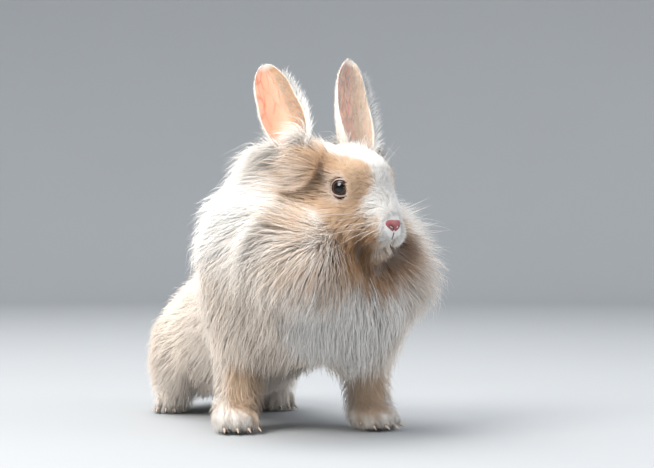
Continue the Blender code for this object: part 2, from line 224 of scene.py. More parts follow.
TRUNK = (
    Station(-40, 12, 150, 74, 42),
    Station(0, 8, 166, 52, 72),
    Station(35, 3, 168, 46, 73),
    Station(75, -3, 152, 32, 61),
    Station(120, -3, 141, 17, 57),
    Station(170, 2, 128, 9, 58),
    Station(212, 8, 115, 9, 54),
    Station(246, 14, 88, 28, 38),
)
LEG_LEAN = {"right": -5, "left": 1.5}
LEG_RADII = (16, 18.5, 22, 31)
LEG_DEPTHS = (3, 5, 8, 12)
PAW_PAD = Lump("pad", (1, 0, 11), (23, 19, 13))
FOREPAW_DEPTH = 2.6
FORE_TOES = Toes(15, 9, (10, 5.6, 9.5), 8.4)
SOLE_ROD = ((-28, 0, 11), (0, 0, 11.5), (22, 0, 11))
SOLE_RADII = (12, 13, 13.5)
HIND_FOOT_DEPTH = 4.0
HIND_TOES = Toes(30, 9, (10, 5, 9.5), 6.8)
TOE_SETBACK = 0.03
SKIN_FLOOR = 0.8
SOCKET_GAP = 0.4

# Grid steps for the coat's and skin's forms
COARSE_PITCH = 3.0
FINE_PITCH = 1.5
FINE_BAND = 7.0
FORM_MARGIN = 30
HEAD_ROOM = 80

# How the hair lies: each stroke of the comb holds near its centre, as (forward, outward, up)
HEAD_STROKES = (
    Stroke("bridge", (33, 0, -14), (-0.75, 0, 0.66), 9, 3.5),
    Stroke("between_eyes", (24, 0, 4), (-0.75, 0, 0.66), 11, 5),
    Stroke("forehead", (12, 0, 22), (-0.9, 0, 0.45), 12, 8),
    Stroke("crown", (-14, 0, 29), (-1, 0, 0.1), 14, 18),
    Stroke("poll", (-32, 0, 24), (-1, 0, 0.1), 13, 36),
    Stroke("lip", (36, 0, -34), (-0.2, 0, -1), 5, 2.4),
    Stroke("chin", (22, 0, -50), (0.1, 0, -1), 5, 9),
    Stroke("throat", (4, 0, -52), (0.3, 0, -1), 16, 38),
    Stroke("occiput", (-46, 0, 4), (-1, 0, -0.2), 18, 44),
)
HEAD_PAIR_STROKES = (
    Stroke("nose_side", (31, 8, -21), (-0.6, 0.75, -0.1), 6, 3.2),
    Stroke("pad", (29, 11, -32), (-0.5, 0.7, -0.5), 6, 5),
    Stroke("muzzle_side", (22, 11, -26), (-0.5, 0.7, -0.5), 6, 8),
    Stroke("beard", (15, 13, -30), (-0.3, 0.6, -0.75), 8, 34),
    Stroke("beard_low", (11, 11, -42), (-0.1, 0.5, -0.87), 10, 46),
    Stroke("eye_front", (16, 13, -4), (-0.35, 0.7, -0.6), 7, 5),
    Stroke("under_eye", (4, 20, -12), (-0.7, 0.5, -0.5), 8, 12),
    Stroke("brow", (6, 17, 13), (-0.85, 0.4, 0.3), 8, 7),
    Stroke("behind_eye", (-14, 20, 2), (-0.85, 0.5, -0.2), 9, 25),
    Stroke("temple", (-28, 20, 2), (-0.75, 0.7, -0.15), 12, 42),
    Stroke("ear_front", (-21, 17, 22), (-0.45, 0.8, 0.3), 9, 34),
    Stroke("ear_side", (-36, 26, 14), (-0.5, 0.85, 0.1), 12, 50),
    Stroke("cheek", (-2, 19, -22), (-0.6, 0.6, -0.55), 11, 42),
    Stroke("cheek_back", (-22, 20, -20), (-0.6, 0.8, -0.25), 13, 56),
    Stroke("ruff", (-16, 36, -44), (-0.5, 0.65, -0.6), 20, 56),
    Stroke("ruff_low", (2, 26, -58), (0.0, 0.55, -0.85), 16, 50),
)
BODY_STROKES = (
    Stroke("nape", (-45, 0, 190), (-1, 0, -0.1), 24, 48),
    Stroke("withers", (-75, 0, 160), (-1, 0, -0.3), 28, 40),
    Stroke("back", (-130, 0, 140), (-1, 0, -0.25), 34, 26),
    Stroke("breast", (28, 8, 118), (0.3, 0, -1), 24, 56),
    Stroke("breast_low", (26, 8, 78), (0.1, 0, -1), 22, 46),
    Stroke("belly", (-90, 0, 30), (-0.5, 0, -0.9), 45, 16),
)
BODY_PAIR_STROKES = (
    Stroke("mane_side", (-30, 45, 158), (-0.65, 0.75, -0.4), 26, 56),
    Stroke("mane_low", (-30, 50, 125), (-0.5, 0.5, -0.8), 24, 48),
    Stroke("breast_side", (18, 42, 112), (0.2, 0.4, -0.9), 22, 56),
    Stroke("shoulder", (-15, 50, 90), (-0.3, 0.2, -0.95), 24, 44),
    Stroke("flank", (-100, 50, 95), (-0.85, 0.1, -0.55), 36, 28),
    Stroke("flank_low", (-110, 44, 45), (-0.7, 0.05, -0.7), 30, 24),
)
HIP_STROKES = (
    Stroke("croup", (-10, 0, 105), (-0.95, 0, -0.45), 28, 36),
    Stroke("rump", (-36, 0, 78), (-0.7, 0, -0.7), 20, 40),
    Stroke("tail", (-55, 0, 58), (-0.95, 0, 0.1), 12, 32),
)
HIP_PAIR_STROKES = (
    Stroke("thigh", (28, 54, 60), (-0.75, 0.15, -0.65), 26, 26),
    Stroke("thigh_low", (28, 54, 24), (-0.5, 0.1, -0.85), 20, 20),
)
FOREPAW_STROKES = (
    Stroke("forearm", (-8, 0, 62), (0.05, 0, -1), 18, 22),
    Stroke("wrist", (-6, 0, 34), (0.15, 0, -1), 14, 12),
    Stroke("paw", (2, 0, 20), (0.9, 0, -0.45), 10, 11),
    Stroke("toes", (20, 0, 12), (0.9, 0, -0.6), 9, 8),
)
HIND_FOOT_STROKES = (
    Stroke("instep", (0, 0, 22), (0.9, 0, -0.3), 16, 17),
    Stroke("toes", (30, 0, 14), (1, 0, -0.45), 10, 10),
    Stroke("heel", (-38, 0, 12), (-0.3, 0, -0.95), 12, 18),
)

# The markings, as soft lumps of colour over a white ground
TAN_RIGHT = (
    Patch("eye_patch", (-3, -20, 2), (35, 24, 27), 1.0),
    Patch("cheek", (-2, -22, -20), (32, 24, 23), 1.0),
    Patch("cheek_low", (6, -18, -38), (22, 18, 11), 0.9),
    Patch("ruff_front", (4, -32, -42), (24, 22, 13), 0.6),
    Patch("beard", (14, -18, -34), (20, 15, 20), 1.0),
    Patch("ear_base", (-28, -22, 16), (14, 12, 14), 0.9),
)
TAN_LEFT = (
    Patch("eye_patch", (2, 19, 2), (22, 14, 18), 1.0),
    Patch("beard", (15, 17, -32), (18, 13, 20), 1.0),
    Patch("cheek_low", (6, 18, -38), (18, 14, 10), 0.8),
)
BROWN_RIGHT = (
    # above_eye is partly the hair's brown and partly painted shade in the brow's crease
    Patch("above_eye", (-14, -22, 14), (20, 16, 12), 0.35),
    Patch("ruff_edge", (0, -27, -47), (18, 16, 8), 0.45),
    Patch("beard", (12, -15, -39), (18, 13, 14), 0.75),
    Patch("cheek_low", (2, -17, -45), (17, 13, 8), 0.55),
)
BROWN_LEFT = (
    Patch("beard", (13, 15, -38), (16, 13, 15), 1.0),
    Patch("ruff_front", (8, 24, -42), (16, 13, 12), 0.85),
)
# Under the chin the brown is partly the hair's own colour and partly painted shade under the head
CHIN_BROWN_AND_SHADE = (Patch("chin", (8, 3, -49), (20, 15, 11), 0.9),)
WHITE_BODY = (
    Patch("mane", (-30, 0, 168), (60, 75, 40), 1.0),
    Patch("chest", (30, 8, 104), (40, 44, 46), 0.9),
    Patch("withers", (-80, 0, 140), (55, 60, 55), 0.6),
)
TAN_HIPS = (Patch("thigh", (22, 54, 62), (34, 22, 26), 0.3),)
TAN_FOREPAW = (Patch("forearm", (8, 9, 38), (18, 19, 34), 0.85),)
FADED_HEAD = (
    Patch("cheek", (-14, 28, -30), (18, 22, 18), 1.0),
    Patch("ruff_front", (-8, 30, -50), (20, 20, 14), 0.7),
    Patch("ruff", (-10, 40, -48), (22, 20, 16), 0.6),
    Patch("temple", (-38, 22, 6), (20, 20, 24), 0.6),
)

# Colours that the add-on's panel offers, as linear red, green and blue
WHITE = (0.88, 0.855, 0.82)
CREAM = (0.83, 0.72, 0.62)
TAN = (0.63, 0.43, 0.28)
BROWN = (0.36, 0.17, 0.06)
TIP = (0.88, 0.83, 0.78)
SKIN_PINK = (0.82, 0.58, 0.48)
# Ear pink is partly the skin's own colour and partly painted glow of light shining through the ear
EAR_GLOW_PINK = (0.90, 0.45, 0.30)
EAR_VEIN = (0.70, 0.17, 0.10)
NOSE_RED = (0.34, 0.075, 0.08)

# Colours of the small parts, and of the stage
PUPIL = (0.002, 0.002, 0.003)
IRIS_DARK = (0.016, 0.008, 0.005)
IRIS_BROWN = (0.085, 0.034, 0.014)
EYE_RIM = (0.012, 0.008, 0.007)
LID_EDGE = (0.035, 0.022, 0.02)
LID_DARK = (0.50, 0.38, 0.36)
LID_PALE = (0.66, 0.52, 0.50)
NOSE_PALE = (0.52, 0.20, 0.20)
# Painted shade inside the nostrils and the cleft
NOSTRIL_SHADE = (0.035, 0.008, 0.008)
# The lips' line: painted shade in the crease between the lips
LIP_SHADE_DARK = (0.07, 0.03, 0.025)
LIP_SHADE_PALE = (0.17, 0.08, 0.07)
HORN_DARK = (0.50, 0.36, 0.26)
HORN_PALE = (0.78, 0.66, 0.54)
WHISKER_DARK = (0.75, 0.72, 0.68)
WHISKER_PALE = (0.9, 0.88, 0.85)
FLOOR_GREY = (0.42, 0.43, 0.44)
SKY = (0.85, 0.92, 1.0)

# The blaze's half width, what it gains on the brow and the lips, and its soft edge; then the eyes' rings
BLAZE_WIDTH = 6.5
BLAZE_BROW = 9
BLAZE_LIPS = 3.6
BLAZE_EDGE = 1.6
EYE_RING = (10, 14)
RING_SHADE = 0.45

# The strands: their clumps as (size, strength), how far they stray and stand, and how they are lit
CLUMPS = ((3.0, 0.22), (11.0, 0.25))
CELL_CODES = (1, 4093, 16769023)
FRIZZ = 0.045
WILDNESS = 0.5
FUZZ = 3.2
LENGTH_RANGE = (0.65, 1.15)
FULL_REACH = 1.03
REACH_LOSS = 0.45
ROOT_DEPTH = 0.8
STANDING = 1.12
STRAND_THIN = 0.22
STRAND_GAIN = 0.047
STRAND_FLATNESS = 0.45
NORMAL_SOFTNESS = 0.72
NORMAL_SPREAD = 0.22
EAR_HAIR_RINGS = 3
FLOOR_GAP = 0.1

# The map: a tuft's patch, the margin round a cell, and the height that a leg's cell covers
PATCH_SIZE = 0.003
MAP_MARGIN = 0.01
LEG_TOP = 110

# The hair's length by the nose and the eyes, how far out that holds, and how fast it grows beyond
NOSE_HAIR = (2.2, 14)
EYE_HAIR = (2.6, 11)
HAIR_RISE = 1.5
BARE_EYE = 1.2
BARE_NOSE = 8.2
BARE_LIP = 1.2

# The ears, and the share of each one's inside that is bare
EAR_ROOT = (-40, 26, 17)
EAR_RISE = {"right": (-36, -1, 73), "left": (-14, 12, 82)}
EAR_OPENING = {"right": (0.80, -0.60, 0), "left": (1, -0.08, 0)}
EAR_THICKNESS = 1.05
EAR_BARENESS = {"right": 1.0, "left": 0.7}

# The eyes, the nose, the lips' line and the whiskers
GAZE = (0.36, 1, 0.06)
LID_LINE = (1, 0, -0.12)
NOSE_CENTRE = (31.8, 0, -27.4)
NOSE_HALF = (4.9, 8.2, 6.2)
NOSE_PITCH = -25
MOUTH_LINE = (
    (34, 0.2, -32),
    (33, 0.2, -36.5),
    (29, 2.6, -39.5),
    (24.5, 5.6, -41),
    (18, 8.5, -41.5),
)
MOUTH_RINGS = 24
MOUTH_DEPTH = 0.1
MOUTH_RADIUS = 0.42
WHISKER_RINGS = 12
WHISKER_DEPTH = 0.5
WHISKER_RADIUS = 0.17
WHISKER_BEND = 0.30
TUBE_SIDES = 5

# Where each row of random numbers starts
WHISKER_SEED = 77
ROOT_SEED = 100
STRAND_SEED = 200
EAR_SEED = 500

# The stage's floor and wall, and its lights in metres and watts
FLOOR_RINGS = (300, 1200)
FLOOR_REACH = 2600
WALL_BEND = 900
WALL_HEIGHT = 3400
STAGE_SIDES = 96
LIGHTS = (
    Lamp("top_light", (-0.5, 0.5, 2.3), 1.8, 54, (1.0, 0.99, 0.97)),
    Lamp("key_light", (-1.5, -0.5, 1.6), 1.1, 48, (1.0, 0.98, 0.95)),
    Lamp("fill_light", (1.3, -1.3, 0.9), 1.4, 14, (0.93, 0.96, 1.0)),
)
LIGHT_TARGET = (0, -0.05, 0.12)
SKY_STRENGTH = 0.95

# The camera, from the photo's framing: it stands low, in front of the rabbit's right shoulder
CAMERA_SPOT = np.array((-547.1, -1161.5, 143.3))
CAMERA_AZIMUTH = -27.0
CAMERA_TILT = 0.32
CAMERA_LENS = 88.07


def smooth_step(value, low, high):
    """0 below low, 1 above high and an eased rise between: 3s^2 - 2s^3 of the share s."""
    share = np.clip((value - low) / (high - low), 0, 1)
    return share * share * (3 - 2 * share)


def ripple(points, size, seed):
    """Soft noise from -1 to 1: the mean of waves that run in random directions, about size long."""
    rng = np.random.default_rng(seed)
    ways = unit(rng.normal(size=(7, 3))) * (2 * np.pi / (size * rng.uniform(0.7, 1.5, (7, 1))))
    phases = rng.uniform(0, 2 * np.pi, 7)
    return np.sin(points @ ways.T + phases).mean(1) * 1.9


def soft_min(first, second, soft):
    """The lower of two distances, rounded where they are within soft of each other."""
    near = np.maximum(soft - np.abs(first - second), 0) / soft
    return np.minimum(first, second) - near * near * soft / 4


def soft_max(first, second, soft):
    return -soft_min(-first, -second, soft)


def pitched(points, degrees):
    """The points turned about the axis that runs left, so that their front rises."""
    turn = math.radians(degrees)
    ahead = points[:, 0] * math.cos(turn) - points[:, 2] * math.sin(turn)
    above = points[:, 0] * math.sin(turn) + points[:, 2] * math.cos(turn)
    return np.stack((ahead, points[:, 1], above), 1)


def spots_on(place, spots, sides=AS_GIVEN):
    """Spots given as (forward, left, up) in the row frame, each on every side asked for."""
    return [place.point(forward, side * left, up) for forward, left, up in spots for side in sides]


def eye_gap(points):
    """How far each point is from the middle of the nearer eye."""
    return np.min([np.linalg.norm(points - eye, axis=1) for eye in EYES.values()], 0)


def ellipsoid_distance(points, place, lump, side=1, grow=0):
    """About how far points are outside an ellipsoid: k(k - 1) over the slope of k, the scaled radius."""
    forward, left, up = lump.centre
    local = place.local(points) - (forward, side * left, up)
    if lump.pitch:
        local = pitched(local, lump.pitch)
    half = np.array(lump.half) + grow
    near = np.sqrt(((local / half) ** 2).sum(1)) + 1e-6
    steep = np.sqrt(((local / half**2) ** 2).sum(1)) + 1e-9
    return near * (near - 1) / steep


def rod_distance(points, spots, radii):
    """How far points are outside a row of round rods, each tapering between two spots."""
    best = None
    for start, end, thick, thin in zip(spots, spots[1:], radii, radii[1:]):
        axis = end - start
        share = np.clip((points - start) @ axis / (axis @ axis), 0, 1)
        off = np.linalg.norm(points - start - share[:, None] * axis, axis=1)
        distance = off - (thick + (thin - thick) * share)
        best = distance if best is None else soft_min(best, distance, 3)
    return best


def trunk_distance(points, share):
    """The trunk: an oval section that changes along Y and closes at both ends by Y's fourth power.

    share is 0 for the coat's form and 1 for the skin's, which lies TRUNK_DEPTH under it.
    """
    local = points - LAYOUT_ORIGIN
    along = np.array([station.along for station in TRUNK], float)
    place = np.clip(local[:, 1], along[0], along[-1])
    first = np.clip(np.searchsorted(along, place) - 1, 0, len(along) - 2)
    part = (place - along[first]) / (along[first + 1] - along[first])
    eased = smooth_step(part, 0, 1)[:, None]
    sections = np.array([station[1:] for station in TRUNK], float)
    side, top, bottom, half_width = (sections[first] * (1 - eased) + sections[first + 1] * eased).T
    depth = TRUNK_DEPTH * share
    half_height = (top - bottom) / 2 - depth
    half_width = half_width - depth
    reach = (along[-1] - along[0]) / 2 - depth
    across = (local[:, 0] - side) / half_width
    height = (local[:, 2] - (top + bottom) / 2) / half_height
    lengthwise = (local[:, 1] - (along[-1] + along[0]) / 2) / reach
    near = np.sqrt(across**2 + height**2 + lengthwise**4) + 1e-6
    slopes = (across / half_width, height / half_height, 2 * lengthwise**3 / reach)
    steep = np.sqrt(sum(slope**2 for slope in slopes))
    return near * (near - 1) / (steep + 1e-9)


def with_toes(points, total, place, toes, grow):
    """Joins four toes to a foot, the outer ones set back by the square of their place across it."""
    for toe in range(4):
        spread = (toe - 1.5) * toes.step
        ahead = toes.ahead - TOE_SETBACK * spread * spread
        lump = Lump("toe", (ahead, spread, toes.up), toes.half)
        total = soft_min(total, ellipsoid_distance(points, place, lump, 1, grow), 2.5)
    return total


def foot_distance(points, share):
    """All four feet and the forelegs: share is 0 for the coat's form and 1 for the skin's."""
    total = None
    grow = -FOREPAW_DEPTH * share
    for side, sign in SIDES.items():
        paw = FOREPAWS[side]
        lean = sign * LEG_LEAN[side]
        bones = ((-4, 0, 14), (-7, lean, 24), (-12, 1.6 * lean, 64), (-4, -8 * sign, 112))
        radii = [radius - depth * share for radius, depth in zip(LEG_RADII, LEG_DEPTHS)]
        leg = rod_distance(points, spots_on(paw, bones), radii)
        leg = soft_min(leg, ellipsoid_distance(points, paw, PAW_PAD, 1, grow), 5)
        leg = with_toes(points, leg, paw, FORE_TOES, grow)
        foot = HIND_FEET[side]
        radii = [radius - HIND_FOOT_DEPTH * share for radius in SOLE_RADII]
        sole = rod_distance(points, spots_on(foot, SOLE_ROD), radii)
        sole = with_toes(points, sole, foot, HIND_TOES, grow)
        both = np.minimum(leg, sole)
        total = both if total is None else np.minimum(total, both)
    return total


def blended(points, total, groups):
    """Adds groups of lumps to a form, each group as (place, lumps, sides, how softly they join)."""
    for place, lumps, sides, soft in groups:
        for lump in lumps:
            for side in sides:
                total = soft_min(total, ellipsoid_distance(points, place, lump, side), soft)
    return total


def coat_distance(points):
    """How far points are outside the coat's outer form."""
    total = soft_min(trunk_distance(points, 0), foot_distance(points, 0), 8)
    groups = (
        (HEAD, COAT_HEAD, AS_GIVEN, 5),
        (HEAD, COAT_HEAD_PAIRS, BOTH, 5),
        (HEAD, COAT_RUFF, BOTH, 20),
        (BODY, COAT_MANE, AS_GIVEN, 10),
        (HIPS, COAT_HIPS, AS_GIVEN, 8),
        (HIPS, COAT_HIP_PAIRS, BOTH, 8),
    )
    total = blended(points, total, groups)
    for side in BOTH:
        total = soft_max(total, -ellipsoid_distance(points, HEAD, ORBIT, side), 5)
    return total


def skin_distance(points):
    """How far points are outside the bare body."""
    total = soft_min(trunk_distance(points, 1), foot_distance(points, 1), 10)
    neck = [HEAD.point(*NECK_TOP), BODY.point(*NECK_FOOT)]
    total = soft_min(total, rod_distance(points, neck, NECK_RADII), 14)
    body = (
        (BODY, SKIN_MANE, AS_GIVEN, 16),
        (HIPS, SKIN_HIPS, AS_GIVEN, 12),
        (HIPS, SKIN_HIP_PAIRS, BOTH, 12),
    )
    total = blended(points, total, body)
    for side in BOTH:
        ruff = spots_on(HEAD, RUFF_ROD, (side,))
        total = soft_min(total, rod_distance(points, ruff, RUFF_RADII), 16)
    bridge = rod_distance(points, spots_on(HEAD, BRIDGE_ROD), BRIDGE_RADII)
    jaw = rod_distance(points, spots_on(HEAD, JAW_ROD), JAW_RADII)
    face = ((HEAD, SKIN_HEAD, AS_GIVEN, 7), (HEAD, SKIN_HEAD_PAIRS, BOTH, 6))
    head = blended(points, soft_min(bridge, jaw, 6), face)
    head = soft_min(head, ellipsoid_distance(points, HEAD, CHIN), 2)
    total = soft_min(total, head, 10)
    for eye in EYES.values():
        socket = np.linalg.norm(points - eye, axis=1) - (EYE_RADIUS + SOCKET_GAP)
        total = soft_max(total, -socket, 1.0)
    return np.maximum(total, SKIN_FLOOR - points[:, 2])


class Field:
    """Distances on an even grid, read between its points by mixing the eight around."""

    def __init__(self, low, pitch, values):
        self.low = low
        self.pitch = pitch
        self.values = values

    def at(self, points):
        place = (points - self.low) / self.pitch
        most = np.array(self.values.shape) - 2
        cell = np.clip(np.floor(place).astype(np.int64), 0, most)
        part = np.clip(place - cell, 0, 1)
        shares = [(1 - part[:, axis], part[:, axis]) for axis in range(3)]
        flat = self.values.ravel()
        step_x = self.values.shape[1] * self.values.shape[2]
        step_y = self.values.shape[2]
        base = cell[:, 0] * step_x + cell[:, 1] * step_y + cell[:, 2]
        total = 0
        for x in (0, 1):
            for y in (0, 1):
                for z in (0, 1):
                    share = shares[0][x] * shares[1][y] * shares[2][z]
                    total = total + share * flat[base + x * step_x + y * step_y + z]
        return total

    def slope(self, points):
        """The way in which the distance grows fastest, from differences over one grid step each way."""
        steps = np.eye(3) * self.pitch
        return unit(np.stack([self.at(points + step) - self.at(points - step) for step in steps], 1))


def grid_points(low, shape, pitch):
    axes = [low[axis] + pitch * np.arange(shape[axis]) for axis in range(3)]
    return np.stack(np.meshgrid(*axes, indexing="ij"), -1).reshape(-1, 3)


@functools.cache
def forms():
    """The coat's and the skin's distance fields, on coarse grids that reach well past the coat."""
    low = np.array(cad_low) / MM - FORM_MARGIN
    high = np.array(cad_high) / MM + FORM_MARGIN
    high[2] = HEAD_MIDDLE[2] + HEAD_ROOM
    shape = np.ceil((high - low) / COARSE_PITCH).astype(int) + 1
    points = grid_points(low, shape, COARSE_PITCH)
    coat = coat_distance(points).reshape(shape)
    skin = skin_distance(points).reshape(shape)
    return Field(low, COARSE_PITCH, coat), Field(low, COARSE_PITCH, skin)


def surface_net(field):
    """The closed surface where a field is zero.

    Each cell that it crosses has one corner, at the mean of its crossings, and each grid edge that it
    crosses has one four-sided face.
    """
    values = field.values
    shape = np.array(values.shape)
    cells = tuple(shape - 1)
    inside = values < 0
    crossings = []
    for axis in range(3):
        here = [slice(None)] * 3
        there = [slice(None)] * 3
        here[axis] = slice(None, -1)
        there[axis] = slice(1, None)
        starts = np.stack(np.nonzero(inside[tuple(here)] != inside[tuple(there)]), 1)
        step = np.eye(3, dtype=int)[axis]
        first = values[tuple(starts.T)]
        second = values[tuple((starts + step).T)]
        spots = starts + step * (first / (first - second))[:, None]
        crossings.append((axis, starts, spots, first < 0))
    total = np.prod(cells)
    sums = np.zeros((3, total))
    counts = np.zeros(total)
    rings = []
    for axis, starts, spots, _ in crossings:
        one, two = np.eye(3, dtype=int)[[(axis + 1) % 3, (axis + 2) % 3]]
        ring = np.stack([starts - one - two, starts - two, starts, starts - one], 1)
        ring = np.ravel_multi_index(tuple(np.moveaxis(ring, -1, 0)), cells, mode="clip")
        rings.append(ring)
        for corner in range(4):
            counts += np.bincount(ring[:, corner], minlength=total)
            for way in range(3):
                sums[way] += np.bincount(ring[:, corner], weights=spots[:, way], minlength=total)
    used = np.nonzero(counts)[0]
    index = np.full(total, -1)
    index[used] = np.arange(len(used))
    points = field.low + field.pitch * (sums[:, used] / counts[used]).T
    faces = []
    for (axis, starts, spots, outward), ring in zip(crossings, rings):
        quads = index[ring]
        faces.append(np.where(outward[:, None], quads, quads[:, ::-1]))
    return points, np.concatenate(faces)


@functools.cache
def skin_surface():
    """(points, faces) of the bare body, from a fine grid that is worked out exactly near the surface only."""
    coarse = forms()[1]
    high = coarse.low + COARSE_PITCH * (np.array(coarse.values.shape) - 1)
    shape = np.floor((high - coarse.low) / FINE_PITCH).astype(int)
    points = grid_points(coarse.low, shape, FINE_PITCH)
    values = coarse.at(points)
    close = np.abs(values) < FINE_BAND
    values[close] = skin_distance(points[close])
    return surface_net(Field(coarse.low, FINE_PITCH, values.reshape(shape)))


# Markings

def patch_cover(points, place, patch, side):
    """1 well inside a soft ellipsoid of colour, easing to 0 at its ragged edge."""
    forward, left, up = patch.centre
    local = (place.local(points) - (forward, side * left, up)) / patch.half
    reach = np.sqrt((local**2).sum(1)) + 0.10 * ripple(points, 13, 5) + 0.07 * ripple(points, 5, 6)
    return patch.amount * (1 - smooth_step(reach, 0.7, 1.15))


def cover_of(points, place, patches, side=1):
    """The strongest of a group of patches at each point."""
    total = np.zeros(len(points))
    for patch in patches:
        total = np.maximum(total, patch_cover(points, place, patch, side))
    return total


def blaze_cover(points):
    """The white blaze: a band down the face, narrow between the eyes and wide over the brow and the lips."""
    forward, left, up = HEAD.local(points).T
    width = BLAZE_WIDTH + BLAZE_BROW * smooth_step(up, 10, 30) + BLAZE_LIPS * smooth_step(-up, -8, 8)
    edge = np.abs(left) + ripple(points, 9, 8)
    front = smooth_step(forward, -26, -8) * smooth_step(up, -40, -35)
    return (1 - smooth_step(edge, width - BLAZE_EDGE, width + BLAZE_EDGE)) * front


def markings(points):
    """(tan, brown, cream, fade) amounts, each 0 to 1, over a white ground; fade is how pale the tips are."""
    tan = np.maximum(cover_of(points, HEAD, TAN_RIGHT), cover_of(points, HEAD, TAN_LEFT))
    brown = np.maximum(cover_of(points, HEAD, BROWN_RIGHT), cover_of(points, HEAD, BROWN_LEFT))
    # The chin's brown is partly painted shade under the head
    brown = np.maximum(brown, cover_of(points, HEAD, CHIN_BROWN_AND_SHADE))
    fade = np.zeros(len(points))
    for side, sign in SIDES.items():
        tan = np.maximum(tan, cover_of(points, HIPS, TAN_HIPS, sign))
        tan = np.maximum(tan, cover_of(points, FOREPAWS[side], TAN_FOREPAW, -sign))
        fade = np.maximum(fade, cover_of(points, HEAD, FADED_HEAD, sign))
    white = cover_of(points, BODY, WHITE_BODY)
    feet = 1 - smooth_step(points[:, 2], 12, 24)
    cream = 1 - np.maximum(white, 0.5 * feet)
    keep = 1 - blaze_cover(points)
    ring = RING_SHADE + (1 - RING_SHADE) * smooth_step(eye_gap(points), *EYE_RING)
    return np.stack((tan * keep * ring, brown * keep * ring, cream * keep, fade * keep), 1)


# Combing

@functools.cache
def comb():
    """Every stroke in the row frame: centres, directions, spreads and lengths."""
    groups = [
        (HEAD, HEAD_STROKES, AS_GIVEN),
        (HEAD, HEAD_PAIR_STROKES, BOTH),
        (BODY, BODY_STROKES, AS_GIVEN),
        (BODY, BODY_PAIR_STROKES, BOTH),
        (HIPS, HIP_STROKES, AS_GIVEN),
        (HIPS, HIP_PAIR_STROKES, BOTH),
    ]
    for side in SIDES:
        groups.append((FOREPAWS[side], FOREPAW_STROKES, AS_GIVEN))
        groups.append((HIND_FEET[side], HIND_FOOT_STROKES, AS_GIVEN))
    rows = []
    for place, strokes, sides in groups:
        for stroke in strokes:
            for side in sides:
                forward, left, up = stroke.centre
                ahead, outward, above = stroke.flow
                centre = place.point(forward, side * left, up)
                flow = place.direction(ahead, side * outward, above)
                rows.append((*centre, *flow, stroke.spread, stroke.length))
    return np.array(rows)


def combed(points):
    """(direction, length) of the hair at each point: the strokes' mean, weighted by a bell of the distance.

    The length is also held to what suits the distance from the nose and from the eyes.
    """
    rows = comb()
    gaps = ((points[:, None, :] - rows[None, :, :3]) ** 2).sum(2)
    weights = np.exp(-gaps / (2 * rows[:, 6] ** 2)) + 1e-12
    weights /= weights.sum(1, keepdims=True)
    nose = np.linalg.norm(points - NOSE, axis=1)
    length = weights @ rows[:, 7]
    for gap, (least, reach) in ((nose, NOSE_HAIR), (eye_gap(points), EYE_HAIR)):
        length = np.minimum(length, least + HAIR_RISE * np.maximum(gap - reach, 0))
    return unit(weights @ rows[:, 3:6]), length


def clump_members(roots, size, seed):
    """The number of the clump that each root belongs to: cells of a lattice that noise bends."""
    bend = np.stack([ripple(roots, 3.1 * size, seed + way) for way in range(3)], 1)
    cell = np.floor((roots + bend * size * 0.6) / size).astype(np.int64)
    _, member = np.unique((cell * CELL_CODES).sum(1), return_inverse=True)
    return member


def clumped(points, share, member, strength):
    """Draws each strand towards the mean strand of its clump, more towards the tip."""
    counts = np.bincount(member)
    means = np.zeros((len(counts), *points.shape[1:]))
    np.add.at(means, member, points)
    means /= counts[:, None, None]
    pull = strength[:, None, None] * (share**1.3)[None, :, None]
    return points + pull * (means[member] - points)


def grown(roots, rings, rng):
    """Strands that follow the comb from their roots and rise from the skin to the coat's outer form.

    The height at the tip is a share of the coat's depth there, and what the length leaves goes along the
    comb: along = sqrt(length^2 - height^2). A hair is never shorter than STANDING times its height. Each
    step goes one share along, then to its height over the skin.
    """
    coat, skin = forms()
    outward = skin.slope(roots)
    _, length = combed(roots)
    count = len(roots)
    length = length * rng.uniform(*LENGTH_RANGE, count)
    reach = FULL_REACH - REACH_LOSS * rng.random(count) ** 1.6 + WILDNESS * rng.random(count) ** 10
    fuzz = np.minimum(FUZZ * rng.random(count) ** 3, 0.25 * length)
    place = roots - outward * ROOT_DEPTH
    path = [place]
    for ring in range(1, rings):
        share = ring / (rings - 1)
        flow, _ = combed(place)
        above = skin.at(place)
        depth = np.maximum(above - coat.at(place), 1.0)
        full = depth * reach + fuzz
        along = np.sqrt(np.maximum(length, STANDING * full) ** 2 - full**2)
        place = place + flow * (along / (rings - 1))[:, None]
        rise = full * (1 - (1 - share) ** 2.2) - skin.at(place)
        place = place + skin.slope(place) * rise[:, None]
        path.append(place)
    points = np.stack(path, 1)
    points[:, 1:-1] = (points[:, :-2] + 2 * points[:, 1:-1] + points[:, 2:]) / 4
    return points, outward, length


def strand_width(length):
    """How wide a strand is at its root: thinner where the hair is short."""
    return STRAND_THIN + STRAND_GAIN * np.sqrt(length)


def make_strands(roots, rings, seed):
    """The strands of one region, clumped at two sizes and a little frizzed, with their roots' markings."""
    rng = np.random.default_rng(seed)
    count = len(roots)
    points, outward, length = grown(roots, rings, rng)
    share = np.linspace(0, 1, rings)
    tone = rng.random(count)
    for size, strength in CLUMPS:
        member = clump_members(roots, size, seed)
        points = clumped(points, share, member, strength * rng.uniform(0.3, 1.0, count))
        tone = 0.6 * tone + 0.4 * rng.random(member.max() + 1)[member]
    frizz = rng.normal(size=(count, 1, 3)) * (FRIZZ * length)[:, None, None]
    wave = rng.normal(size=(count, 1, 3)) * (FRIZZ * length)[:, None, None]
    swing = np.sin(np.pi * share)[None, :, None]
    points = points + frizz * (share**1.5)[None, :, None] + wave * swing
    width = strand_width(length) * rng.uniform(0.8, 1.2, count)
    tint = np.stack((tone, rng.random(count)), 1)
    form = forms()[1].slope(points.reshape(-1, 3)).reshape(points.shape)
    return Strands(points, outward, form, width, markings(roots), tint)


def strand_profile(share):
    """A strand's width along it: a little narrow at the root, full to the middle and nothing at the tip."""
    return (0.75 + 0.5 * share) * (1 - share**1.8) ** 0.9


